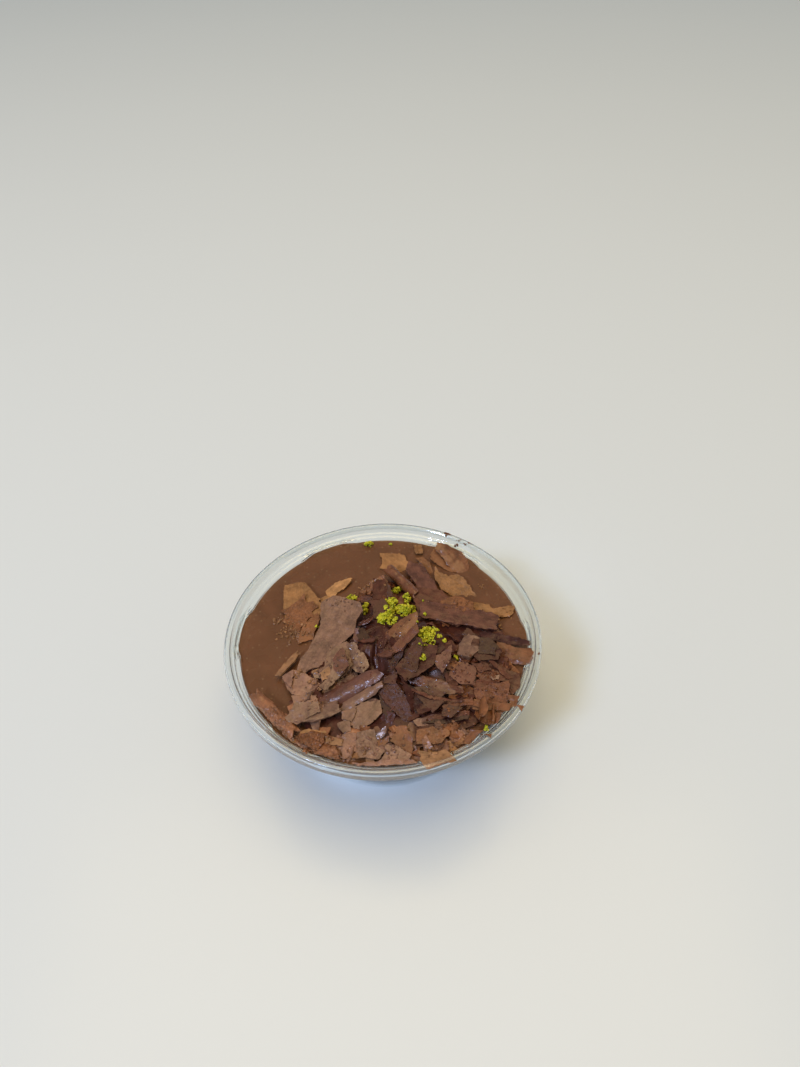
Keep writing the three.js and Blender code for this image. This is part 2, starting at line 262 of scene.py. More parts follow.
def bump(tree, height, strength, depth, normal=None):
    """Bumps by a pattern, this many millimetres deep, over those that a normal has already."""
    links = {"Height": height}
    if normal is not None:
        links["Normal"] = normal
    inputs = {"Strength": strength, "Distance": depth * MM}
    return add(tree, "ShaderNodeBump", inputs, links).outputs[0]


def blend(tree, pattern, low, high, one, other):
    """One hex colour where a pattern is low and another where it is high."""
    return add(
        tree, "ShaderNodeMix", {6: linear(one), 7: linear(other)},
        {0: spread(tree, pattern, low, high, 0.0, 1.0)}, data_type="RGBA",
    ).outputs[2]


def clear_pet():
    """Clear PET, thermoformed: a thin glossy film-like wall that lets light through."""
    material, tree, out = new_material("clear_pet")
    place = add(tree, "ShaderNodeTexCoord").outputs["Object"]
    # Thermoforming leaves the wall faintly uneven, in waves about a centimetre long.
    waves = bump(tree, noise(tree, place, 11, detail=1.0), 0.25, 0.3)
    wall = add(
        tree, "ShaderNodeBsdfPrincipled",
        {
            "Base Color": linear("#F7FAF8"), "Roughness": 0.03, "IOR": 1.57,
            "Transmission Weight": 0.95,
        },
        {"Normal": waves},
    )
    # Lamps shine through the wall, as they do through real clear plastic.
    through = add(tree, "ShaderNodeBsdfTransparent", {"Color": linear("#F1F4F2")})
    rays = add(tree, "ShaderNodeLightPath")
    both = add(
        tree, "ShaderNodeMixShader", {},
        {0: rays.outputs["Is Shadow Ray"], 1: wall.outputs[0], 2: through.outputs[0]},
    )
    tree.links.new(both.outputs[0], out.inputs["Surface"])
    return material


def set_cream():
    """Chilled chocolate pastry cream, poured and set: smooth, wet and satin, with a few bubbles."""
    material, tree, out = new_material("set_chocolate_cream")
    place = add(tree, "ShaderNodeTexCoord").outputs["Object"]
    # Slow swirls from pouring, a few centimetres across.
    swirl = noise(tree, place, 16, detail=3.0, distortion=1.4)
    brown = blend(tree, swirl, 0.35, 0.65, "#684226", "#73492C")
    # Tiny pale air bubbles under the skin, about half a millimetre wide.
    bubble = spread(tree, cells(tree, place, 6, "2D"), 0.04, 0.07, 0.7, 0.0)
    flecked = add(
        tree, "ShaderNodeMix", {7: linear("#8C694A")}, {0: bubble, 6: brown}, data_type="RGBA"
    )
    dull = noise(tree, place, 7)
    cream = add(
        tree, "ShaderNodeBsdfPrincipled",
        {
            "IOR": 1.38, "Subsurface Weight": 0.15, "Subsurface Scale": 1.5 * MM,
            "Subsurface Radius": (1.0, 0.5, 0.25),
        },
        {
            "Base Color": flecked.outputs[2], "Normal": bump(tree, dull, 0.3, 0.15),
            "Roughness": spread(tree, dull, 0.3, 0.7, 0.2, 0.34),
        },
    )
    tree.links.new(cream.outputs[0], out.inputs["Surface"])
    return material


def shaved_chocolate(name):
    """Chocolate scraped from a block: satin where the blade slid, dull and crumbly where it tore; painted
    shade darkens its crumbly gaps and painted glints lighten its grains.
    """
    material, tree, out = new_material(name)
    place = add(tree, "ShaderNodeTexCoord").outputs["Object"]
    tint = add(tree, "ShaderNodeAttribute", attribute_name="tint").outputs["Color"]
    wet = add(tree, "ShaderNodeAttribute", attribute_name="wet").outputs["Fac"]
    crumbly = add(tree, "ShaderNodeAttribute", attribute_name="crumbly").outputs["Fac"]
    lie = add(tree, "ShaderNodeAttribute", attribute_name="lie").outputs["Vector"]
    patches = noise(tree, place, 4, detail=4.0, roughness=0.55)
    grain = noise(tree, place, 0.8, detail=5.0, roughness=0.75)
    # The blade leaves fine lines, less than a millimetre apart, along each shaving.
    stretch = add(
        tree, "ShaderNodeVectorMath", {1: (0.06, 1.0, 0.3)}, {0: lie}, operation="MULTIPLY"
    )
    lines = noise(tree, stretch.outputs[0], 0.7, distortion=0.4)
    # Broken grains of chocolate, about a millimetre apart, stick to it; they are painted paler, partly
    # their own colour and partly painted glints.
    grains_and_glints = cells(tree, place, 1.1)
    # Cocoa butter clouds the face in patches and the lines are darker; the grains are paler, partly their
    # own colour and partly painted glints.
    shade = spread(tree, patches, 0.33, 0.68, 1.06, 1.95)
    # Where it is crumbly, the gaps between the crumbs are darkened: painted shade.
    painted_gap_shade = spread(tree, grain, 0.55, 0.4, 0.0, 0.4)
    for factor in (
        spread(tree, lines, 0.32, 0.5, 0.82, 1.0),
        spread(tree, grains_and_glints, 0.1, 0.18, 1.45, 1.0),
        spread(tree, grain, 0.35, 0.65, 0.9, 1.12),
        spread(tree, multiply(tree, painted_gap_shade, crumbly), 0.0, 1.0, 1.0, 0.0),
        spread(tree, crumbly, 0.0, 1.0, 1.0, 1.1),
    ):
        shade = multiply(tree, shade, factor)
    shaded = add(
        tree, "ShaderNodeVectorMath", {}, {0: tint, "Scale": shade}, operation="SCALE"
    )
    dry_gloss = spread(tree, patches, 0.35, 0.65, 0.24, 0.4)
    # Wet chocolate carries a film of syrup in drops about a millimetre wide.
    film = spread(tree, grain, 0.42, 0.56, 0.25, 1.0)
    gloss = add(
        tree, "ShaderNodeMix", {3: 0.2}, {0: multiply(tree, wet, film), 2: dry_gloss},
        data_type="FLOAT",
    )
    scored = bump(tree, lines, 0.3, 0.1)
    studded = bump(tree, spread(tree, grains_and_glints, 0.0, 0.26, 1.0, 0.0), 0.4, 0.25, scored)
    relief = add(
        tree, "ShaderNodeBump", {"Distance": 0.4 * MM},
        {
            "Height": grain, "Normal": studded,
            "Strength": multiply(
                tree, spread(tree, crumbly, 0.0, 0.7, 0.2, 1.0),
                spread(tree, wet, 0.0, 1.0, 1.0, 0.4),
            ),
        },
    )
    # The film is rippled, a ripple every millimetre and a half, and each ripple glints.
    rippled = bump(tree, noise(tree, place, 1.4, detail=1.0), 1.0, 0.5)
    chocolate = add(
        tree, "ShaderNodeBsdfPrincipled",
        {
            "IOR": 1.48, "Coat IOR": 1.4, "Coat Roughness": 0.08,
            "Specular Tint": linear("#FBE4DA"),
        },
        {
            "Specular IOR Level": spread(tree, wet, 0.0, 1.0, 0.4, 0.55),
            "Coat Weight": multiply(tree, film, spread(tree, wet, 0.05, 0.7, 0.0, 1.0)),
            "Coat Normal": rippled,
            "Base Color": shaded.outputs[0], "Roughness": gloss.outputs[0],
            "Normal": relief.outputs[0],
        },
    )
    tree.links.new(chocolate.outputs[0], out.inputs["Surface"])
    return material


def chopped_nut():
    """Chopped pistachio: bright green flesh with yellow faces, dull and a little oily."""
    material, tree, out = new_material("chopped_pistachio")
    place = add(tree, "ShaderNodeTexCoord").outputs["Object"]
    flesh = noise(tree, place, 1.6)
    nut = add(
        tree, "ShaderNodeBsdfPrincipled", {"Roughness": 0.5, "IOR": 1.47},
        {
            "Base Color": blend(tree, flesh, 0.35, 0.62, "#9DA00C", "#D8CC2A"),
            "Normal": bump(tree, flesh, 0.5, 0.2),
        },
    )
    tree.links.new(nut.outputs[0], out.inputs["Surface"])
    return material


CLEAR_PET = clear_pet()
SET_CREAM = set_cream()
DARK_SHAVED = shaved_chocolate("shaved_dark_chocolate")
PALE_SHAVED = shaved_chocolate("shaved_milk_chocolate")
PISTACHIO = chopped_nut()

# The browns of the chocolate, by name. The deepest, deep and black, are darker than the chocolate itself:
# they are partly painted shade, for flakes that lie in the shade of others and for the gaps between them.
TINTS = {
    "sand": "#95693F", "tan": "#805732", "gold": "#7B5536", "rust": "#774B2F", "umber": "#6C4226",
    "rose": "#785440", "mauve": "#684A38", "cocoa": "#613820", "plum": "#563426",
    "dark": "#4F2B1C", "deep": "#3A1C14", "black": "#260E0A",
}


def colour(piece, tint, wet=0.0, shade=1.0, crumbly=0.0):
    """Writes a piece's brown, wetness and crumbliness to its points, for its material to read."""
    mesh = piece.data
    weights = crumbly if isinstance(crumbly, list) else [crumbly] * len(mesh.vertices)
    rgb = [min(1.0, part * shade) for part in linear(TINTS[tint])[:3]]
    tints = mesh.attributes.new("tint", "FLOAT_COLOR", "POINT")
    tints.data.foreach_set("color", (rgb + [1.0]) * len(mesh.vertices))
    wets = mesh.attributes.new("wet", "FLOAT", "POINT")
    wets.data.foreach_set("value", [wet] * len(mesh.vertices))
    rough = mesh.attributes.new("crumbly", "FLOAT", "POINT")
    rough.data.foreach_set("value", weights)
    return piece


# ---------------------------------------------------------------- the cup and the cream


def draw(name, points):
    """A line drawn point by point, in millimetres; it is left open in edit mode, all selected."""
    select_none()
    bpy.ops.mesh.primitive_plane_add(size=MM)
    piece = bpy.context.object
    piece.name = name
    bpy.ops.object.mode_set(mode="EDIT")
    bpy.ops.mesh.select_all(action="SELECT")
    bpy.ops.mesh.merge(type="CENTER")
    bpy.ops.transform.translate(value=Vector(points[0]) * MM)
    for here, there in zip(points, points[1:]):
        step = (Vector(there) - Vector(here)) * MM
        bpy.ops.mesh.extrude_vertices_move(TRANSFORM_OT_translate={"value": step})
    bpy.ops.mesh.select_all(action="SELECT")
    return piece


def turned(name, profile):
    """A profile of (radius, height), its corners rounded, and spun about the cup's axis."""
    piece = draw(name, [(radius, 0, height) for radius, height in profile])
    bpy.ops.mesh.bevel(offset=CORNER * MM, segments=3, affect="VERTICES", clamp_overlap=True)
    bpy.ops.mesh.select_all(action="SELECT")
    bpy.ops.mesh.spin(steps=ROUND_STEPS, angle=2 * math.pi, center=(0, 0, 0), axis=(0, 0, 1))
    bpy.ops.mesh.select_all(action="SELECT")
    bpy.ops.mesh.remove_doubles(threshold=SEAM * MM)
    bpy.ops.mesh.normals_make_consistent(inside=False)
    done()
    return piece


def press_pockets(piece):
    """Pushes the stacking pockets out of the wall of the ring."""
    pitch = 360 / POCKETS

    def in_pocket(vertex):
        x, y, z = (part / MM for part in vertex.co)
        along = (math.degrees(math.atan2(y, x)) - POCKET_START) % pitch
        in_ring = POCKET_LOW < z < POCKET_HIGH and math.hypot(x, y) > POCKET_REACH
        return in_ring and inset < along < POCKET_WIDTH - inset

    # Pressed in three steps, each two degrees narrower, for rounded ends.
    for inset in (0, 2, 4):
        edit(piece, in_pocket)
        grow = (RING_RADIUS + POCKET_DEPTH / 3) / RING_RADIUS
        bpy.ops.transform.resize(value=(grow, grow, 1), center_override=(0, 0, 0))
        done()


def wall_radius(height):
    """The outer radius of the tapered wall at this height."""
    return FOOT_RADIUS + WALL_SLOPE * height


def beside(path, gap):
    """The line that runs this far to the right of a path of (radius, height), parallel to it."""
    steps = [(Vector(there) - Vector(here)).normalized() for here, there in zip(path, path[1:])]
    made = []
    for point, before, after in zip(path, steps[:1] + steps, steps + steps[-1:]):
        right_before = Vector((before.y, -before.x))
        right_after = Vector((after.y, -after.x))
        mitre = (right_before + right_after).normalized()
        made.append(tuple(Vector(point) + mitre * gap / max(0.5, mitre.dot(right_before))))
    return made


def clear_cup():
    """The cup's wall: up inside from the floor, over the rim, and back down outside."""
    ring = RING_RADIUS - WALL
    inside = [
        (wall_radius(SHOULDER) - WALL, SHOULDER),
        (wall_radius(SHOULDER) + 0.4, SHOULDER + 1.6),
        (ring, SHOULDER + 2.9),
        (ring, LEDGE - 0.8),
        (ring + 0.9, LEDGE),
        (RIM_RADIUS - 4.3, LEDGE + 0.1),
        (RIM_RADIUS - 3.9, LEDGE + 0.8),
        (RIM_RADIUS - 3.0, LEDGE + 0.9),
        (RIM_RADIUS - 2.5, RIM_TOP - 0.8),
        (RIM_RADIUS - 1.7, RIM_TOP),
        (RIM_RADIUS - 0.7, RIM_TOP - 0.15),
        (RIM_RADIUS - 0.1, RIM_TOP - 1.1),
        (RIM_RADIUS, RIM_TOP - 3.6),
    ]
    under = list(reversed(beside(inside, RIM_WALL)))
    low = [
        (wall_radius(SHOULDER / 2), SHOULDER / 2),
        (FOOT_RADIUS, 0),
        (FOOT_RADIUS - WALL, 0),
        (wall_radius(FLOOR) - WALL, FLOOR),
        (0, FLOOR),
    ]
    floor_up = [
        (0, FLOOR + WALL),
        (wall_radius(FLOOR) - 2.6, FLOOR + WALL),
        (wall_radius(FLOOR + 2.5) - WALL, FLOOR + 2.5),
    ]
    cup = turned("clear_cup", floor_up + inside + under + low)
    press_pockets(cup)
    return finish_piece(cup, CLEAR_PET, "clear_plastic", "cup", angle=50)


def cream_body():
    """The cream, which wets the wall all round: each side lies half way through the plastic."""
    touch = WALL - RIM_WALL / 2
    ring = RING_RADIUS - touch
    profile = [
        (0, FLOOR + WALL / 2),
        (wall_radius(FLOOR) - 2.4, FLOOR + WALL / 2),
        (wall_radius(FLOOR + 2.5) - touch, FLOOR + 2.5),
        (wall_radius(SHOULDER) - touch, SHOULDER),
        (wall_radius(SHOULDER) + 0.6, SHOULDER + 1.45),
        (ring, SHOULDER + 2.75),
        (ring, CREAM_LEVEL + MENISCUS),
        (ring - 0.7, CREAM_LEVEL + 0.1),
        (ring - 2.2, CREAM_LEVEL),
        (44, CREAM_LEVEL), (36, CREAM_LEVEL), (28, CREAM_LEVEL), (18, CREAM_LEVEL),
        (0, CREAM_LEVEL),
    ]
    cream = turned("chocolate_cream_body", profile)
    press_pockets(cream)
    return finish_piece(cream, SET_CREAM, "chocolate_cream", "chocolate_cream", angle=60)


cup = clear_cup()
cream = cream_body()

# ---------------------------------------------------------------- the large shavings

# Each large shaving: its brown, how wet it is, and how torn its edge is in millimetres.
LARGE = {
    "small_chip_back": ("tan", 0.0, 0.7),
    "stick_shaving_left": ("gold", 0.2, 0.8),
    "long_roll_left_wall": ("rust", 0.4, 1.2),
    "dark_slab_back": ("plum", 0.0, 1.0),
    "folded_slab_front_left": ("mauve", 0.5, 1.0),
    "flat_slab_front": ("rose", 0.5, 0.9),
    "open_curl_front_right": ("umber", 0.1, 0.8),
    "stacked_sheet_right": ("dark", 0.1, 1.1),
    "long_strip_front_right": ("dark", 0.3, 0.8),
    "chunk_shaving_right": ("mauve", 0.3, 0.9),
    "wide_slab_right": ("plum", 0.0, 1.1),
    "small_roll_back": ("cocoa", 0.5, 0.4),
}
PALE = ("flat_shaving_left", "flat_shaving_back_left", "flat_shaving_back", "small_chip_back")

# Where a large shaving is crumbly rather than smooth: x, y and radius, in millimetres.
CRUMBLED = {
    "stacked_sheet_right": (40.0, -25.0, 4.0),
    "long_roll_left_wall": (-36.0, -36.0, 8.0),
}


def finish_large(piece, node):
    """Finishes a piece that stands for one of the frame's shavings."""
    if node in PALE:
        return finish_piece(piece, PALE_SHAVED, "pale_chocolate", node)
    return finish_piece(piece, DARK_SHAVED, "dark_chocolate", node)


# In millimetres: points this close are one, the copy is thinner by this on each side, and its
# snapped edges are bevelled by this where they turn by more than this angle in degrees.
WELD = 0.001
THINNED = 0.12
SNAPPED = 0.09
SNAPPED_ANGLE = 60


def large_shaving(node, tint, wet, torn):
    """A fine copy of one of the frame's shavings: thinner, snapped at its edges, partly crumbled."""
    piece = copy_of(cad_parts[node], node + "_carved")
    edit(piece)
    bpy.ops.mesh.remove_doubles(threshold=WELD * MM)
    bpy.ops.mesh.tris_convert_to_quads(face_threshold=math.pi, shape_threshold=math.pi)
    bpy.ops.transform.shrink_fatten(value=-THINNED * MM)
    done()
    modify(piece, "SUBSURF", levels=1, subdivision_type="SIMPLE")
    edit(piece)
    bpy.ops.mesh.select_mode(type="EDGE")
    bpy.ops.mesh.select_all(action="DESELECT")
    bpy.ops.mesh.edges_select_sharp(sharpness=math.radians(SNAPPED_ANGLE))
    bpy.ops.mesh.bevel(offset=SNAPPED * MM, segments=1, affect="EDGES")
    done()
    rim = piece.vertex_groups.new(name="rim")
    rim.add([v.index for v in piece.data.vertices if v.select], 1.0, "REPLACE")
    modify(piece, "SUBSURF", levels=1)
    rough_up(piece, TEAR, torn, "RGB_TO_XYZ", "rim")
    rough_up(piece, SNAP, 0.5 * torn, "RGB_TO_XYZ", "rim")
    rough_up(piece, WRINKLE, 0.5)
    modify(piece, "SUBSURF", levels=1)
    rough_up(piece, TEAR, 0.15)
    at_x, at_y, size = CRUMBLED.get(node, (0, 0, 0))
    weights = [0.0] * len(piece.data.vertices)
    if size:
        crumbled = piece.vertex_groups.new(name="crumbled")
        for vertex in piece.data.vertices:
            away = math.hypot(vertex.co.x / MM - at_x, vertex.co.y / MM - at_y)
            weights[vertex.index] = max(0.0, min(1.0, 2 - 2 * away / size))
            crumbled.add([vertex.index], weights[vertex.index], "REPLACE")
        rough_up(piece, TEAR, 1.2, group="crumbled")
        rough_up(piece, GRAIN, 0.4, group="crumbled")
    rough_up(piece, GRAIN, GRAIN_DEPTH)
    mark_lie(piece)
    colour(piece, tint, wet, 1.0, weights)
    return finish_large(piece, node)


large = {node: large_shaving(node, *look) for node, look in LARGE.items()}


# The core's size against the mound's, from its foot upwards.
CORE_SIZE = (0.97, 0.97, 0.8)


def heap_core():
    """The inside of the heap, a smaller copy of the frame's mound that the flakes lie on, coloured deep
    brown as painted shade so that the gaps between the flakes read dark.
    """
    core = copy_of(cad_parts["shavings_heap"], "heap_core")
    edit(core)
    bpy.ops.mesh.remove_doubles(threshold=WELD * MM)
    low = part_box("shavings_heap")[0].z
    bpy.ops.transform.resize(value=CORE_SIZE, center_override=(0, 0, low))
    done()
    modify(core, "SUBSURF", levels=1)
    rough_up(core, WRINKLE, 1.6)
    mark_lie(core)
    # Painted shade: the core is darker than the chocolate so that it reads as the shade in the gaps.
    colour(core, "deep")
    return finish_piece(core, DARK_SHAVED, "dark_chocolate", "shavings_heap", angle=30)


core = heap_core()

# ---------------------------------------------------------------- flakes, modelled once each

KIND_LENGTH = 10
KIND_WIDTH = 6
BIT_RADIUS = 0.55
BIT_CUTS = 6
# Tearing pushes a sheet out of its plane; bending starts by flattening it to this share.
FLATTENED = 0.3
SHIFT = cloud("shift", 2.0)


def bend(piece, curl, arch, twist=0):
    """Stands a flat sheet on edge, curls it across, arches it along, twists it, and lays it back."""
    edit(piece)
    bpy.ops.transform.resize(value=(1, 1, FLATTENED), center_override=(0, 0, 0))
    bpy.ops.transform.rotate(value=math.pi / 2, orient_axis="X", center_override=(0, 0, 0))
    done()
    for axis, method, turn in (("X", "BEND", curl), ("Z", "BEND", arch), ("X", "TWIST", twist)):
        if turn:
            modify(
                piece, "SIMPLE_DEFORM", deform_method=method, deform_axis=axis,
                angle=math.radians(turn),
            )
    edit(piece)
    bpy.ops.transform.rotate(value=-math.pi / 2, orient_axis="X", center_override=(0, 0, 0))
    done()


def sheet_kind(name, seed, cuts=5, curl=0, arch=0, twist=0, thick=0.45, tear=1.2, mesh=(16, 10)):
    """A broken sheet ten millimetres by six: cut to a rough outline, torn, curled and thickened."""
    chance = random.Random(seed)
    select_none()
    bpy.ops.mesh.primitive_grid_add(x_subdivisions=mesh[0], y_subdivisions=mesh[1], size=MM)
    kind = bpy.context.object
    kind.name = name
    edit(kind)
    bpy.ops.transform.resize(value=(KIND_LENGTH, KIND_WIDTH, 1), center_override=(0, 0, 0))
    for corner in range(cuts):
        angle = 2 * math.pi * (corner + chance.random()) / cuts
        reach = chance.uniform(0.74, 0.98) / 2 * MM
        normal = Vector((math.cos(angle), math.sin(angle), 0))
        place = (normal.x * reach * KIND_LENGTH, normal.y * reach * KIND_WIDTH, 0)
        steep = Vector((normal.x * KIND_WIDTH, normal.y * KIND_LENGTH, 0)).normalized()
        bpy.ops.mesh.select_all(action="SELECT")
        bpy.ops.mesh.bisect(plane_co=place, plane_no=steep, clear_outer=True)
    done()
    SHIFT.noise_scale = chance.uniform(1.6, 2.6) * MM
    rough_up(kind, SHIFT, tear, "RGB_TO_XYZ")
    rough_up(kind, SNAP, 0.4, "RGB_TO_XYZ")
    mark_lie(kind)
    bend(kind, curl, arch, twist)
    modify(kind, "SOLIDIFY", thickness=thick * MM, offset=0.0)
    rough_up(kind, GRAIN, GRAIN_DEPTH)
    return kind


def bit_kind(name, seed):
    """A broken bit a millimetre across, as long as it is wide, with a few flat faces."""
    select_none()
    bpy.ops.mesh.primitive_ico_sphere_add(subdivisions=1, radius=BIT_RADIUS * MM)
    kind = bpy.context.object
    kind.name = name
    chance = random.Random(seed)
    for _ in range(BIT_CUTS):
        normal = Vector([chance.gauss(0, 1) for _ in range(3)]).normalized()
        edit(kind)
        bpy.ops.mesh.bisect(
            plane_co=normal * chance.uniform(0.2, 0.36) * MM, plane_no=normal, use_fill=True,
            clear_outer=True,
        )
        done()
    mark_lie(kind)
    return kind


KINDS = {
    "slab": sheet_kind("slab", 1, 6, curl=-14, arch=10),
    "plate": sheet_kind("plate", 2, 5, curl=10, arch=-12, twist=8),
    "shard": sheet_kind("shard", 3, 4, curl=-20, twist=16, tear=1.5),
    "wedge": sheet_kind("wedge", 4, 3, curl=-10, arch=-8, thick=0.8),
    "strip": sheet_kind("strip", 5, 5, curl=-30, arch=14, twist=40, mesh=(20, 6)),
    "ribbon": sheet_kind("ribbon", 6, 4, curl=60, arch=-26, twist=-30, mesh=(20, 7)),
    "pipe": sheet_kind("pipe", 7, 4, curl=-150, thick=0.7, mesh=(14, 12)),
    "bowl": sheet_kind("bowl", 9, 5, curl=70, arch=30),
    "crumple": sheet_kind("crumple", 10, 6, curl=-30, arch=20, tear=2.6, thick=0.6),
}
BITS = [bit_kind("bit_%d" % seed, seed) for seed in (21, 22, 23, 24)]

CHANCE = random.Random(7)
# Rays that look for the surface start this high, in millimetres. A loose flake feels for what
# carries it this share of its size away from its middle, and leans no more steeply than this.
RAY_START = 80
SUPPORT_REACH = 0.32
STEEPEST = 0.45


def tree_of(piece):
    """What a ray from above can hit of this piece."""
    mesh = piece.data
    return BVHTree.FromPolygons(
        [vertex.co for vertex in mesh.vertices], [face.vertices for face in mesh.polygons]
    )


def surface(trees, x, y):
    """The height of the topmost surface under a point, in millimetres."""
    start = Vector((x * MM, y * MM, RAY_START * MM))
    heights = [CREAM_LEVEL]
    for tree in trees:
        place = tree.ray_cast(start, Vector((0, 0, -1)))[0]
        if place is not None:
            heights.append(place.z / MM)
    return max(heights)


def lay(kind, trees, x, y, heading, length, width, tint, wet, pitch, bank, lift):
    """Copies a kind of flake onto what lies under (x, y), following its slope."""
    ahead = Vector((math.cos(math.radians(heading)), math.sin(math.radians(heading))))
    aside = Vector((-ahead.y, ahead.x))
    reach_ahead, reach_aside = SUPPORT_REACH * length, SUPPORT_REACH * width
    spots = [
        Vector((x, y)) + ahead * along + aside * across
        for along, across in (
            (reach_ahead, 0), (-reach_ahead, 0), (0, reach_aside), (0, -reach_aside), (0, 0),
        )
    ]
    fore, aft, left, right, mid = (surface(trees, *spot) for spot in spots)
    rise_along = max(-STEEPEST, min(STEEPEST, (fore - aft) / (2 * reach_ahead)))
    rise_across = max(-STEEPEST, min(STEEPEST, (left - right) / (2 * reach_aside)))
    turn = Matrix.Rotation(math.radians(heading), 4, "Z")
    tip = Matrix.Rotation(-math.atan(rise_along) - math.radians(pitch), 4, "Y")
    lean = Matrix.Rotation(math.atan(rise_across) + math.radians(bank), 4, "X")
    size = Matrix.Diagonal((length / KIND_LENGTH, width / KIND_WIDTH, 1, 1))
    height = max(mid, (fore + aft + left + right) / 4) + lift
    copy = copy_of(KINDS[kind], "flake")
    copy.data.transform(turn @ tip @ lean @ size)
    copy.data.transform(Matrix.Translation((x * MM, y * MM, height * MM)))
    return colour(copy, tint, wet, CHANCE.uniform(0.85, 1.15))


# ---------------------------------------------------------------- flakes cut to their own outline

# The outlines are drawn as the heap looks from the front, half from above: what stands a
# millimetre above the height it is drawn at lies this much further forward than it is drawn.
FORWARD = 0.8
# No cut flake stands higher than this. It rests on its middle and on points this share of the
# way to its corners, and it is cut into cells this wide.
HIGHEST = 55.6
SUPPORT = 0.7
CELL = 0.6


def tipped(rise, facing):
    """Tips a flat outline up towards the right and the back without changing how it looks."""
    shorter = 1 + FORWARD * facing
    along = Vector((1, -FORWARD * rise / shorter, rise / shorter))
    across = Vector((0, 1 / shorter, facing / shorter))
    up = along.cross(across).normalized()
    return Matrix((along, across, up)).transposed()


def blank(outline, thick, curl, arch, crumbly):
    """A flat sheet of chocolate snapped to an outline about the origin, curled and thickened."""
    middle = sum(outline, Vector((0, 0, 0))) / len(outline)
    ends = max(combinations(outline, 2), key=lambda pair: (pair[1] - pair[0]).length)
    heading = math.atan2(ends[1].y - ends[0].y, ends[1].x - ends[0].x)
    straight = Matrix.Rotation(-heading, 3, "Z")
    points = [straight @ (point - middle) + middle for point in outline]
    piece = draw("flake", points)
    bpy.ops.mesh.edge_face_add()
    for axis in (0, 1):
        low = min(point[axis] for point in points)
        high = max(point[axis] for point in points)
        slices = max(2, math.ceil((high - low) / CELL))
        normal = [0, 0, 0]
        normal[axis] = 1
        for number in range(1, slices):
            place = [0, 0, 0]
            place[axis] = (low + (high - low) * number / slices) * MM
            bpy.ops.mesh.select_all(action="SELECT")
            bpy.ops.mesh.bisect(plane_co=place, plane_no=normal)
    done()
    rough_up(piece, TEAR, 0.6, "RGB_TO_XYZ")
    rough_up(piece, SNAP, 0.45, "RGB_TO_XYZ")
    mark_lie(piece)
    piece.data.transform(Matrix.Translation(-middle * MM))
    bend(piece, curl, arch)
    modify(piece, "SOLIDIFY", thickness=thick * MM, offset=0.0)
    piece.data.transform(Matrix.Translation(middle * MM))
    rough_up(piece, WRINKLE, 0.5)
    rough_up(piece, TEAR, 0.15)
    rough_up(piece, GRAIN, GRAIN_DEPTH + 0.4 * crumbly)
    if crumbly:
        rough_up(piece, TEAR, crumbly)
    piece.data.transform(Matrix.Translation(-middle * MM))
    piece.data.transform(Matrix.Rotation(heading, 4, "Z"))
    return piece, middle


def cut_flake(trees, drawn_at, look, outline):
    """A flake with this outline of (x, y) points, laid on what lies under it."""
    tint, wet, facing, rise, curl, lift, crumbly = look
    corners = [Vector((x, y, 0)) for x, y in outline]
    piece, middle = blank(corners, CHANCE.uniform(0.38, 0.6), curl, CHANCE.uniform(-12, 12), crumbly)
    tip = tipped(rise, facing)
    spots = [tip @ ((corner - middle) * SUPPORT) for corner in corners] + [Vector((0, 0, 0))]
    height = drawn_at
    for _ in range(3):
        y = middle.y - FORWARD * (height - drawn_at)
        needs = [surface(trees, middle.x + spot.x, y + spot.y) - spot.z for spot in spots]
        resting = (max(needs) + sum(needs) / len(needs)) / 2 + lift
        height = min(HIGHEST - max(spot.z for spot in spots) / SUPPORT, resting)
    piece.data.transform(tip.to_4x4())
    y = middle.y - FORWARD * (height - drawn_at)
    piece.data.transform(Matrix.Translation((middle.x * MM, y * MM, height * MM)))
    colour(piece, tint, wet, CHANCE.uniform(0.9, 1.1), crumbly)
    trees.append(tree_of(piece))
    return piece


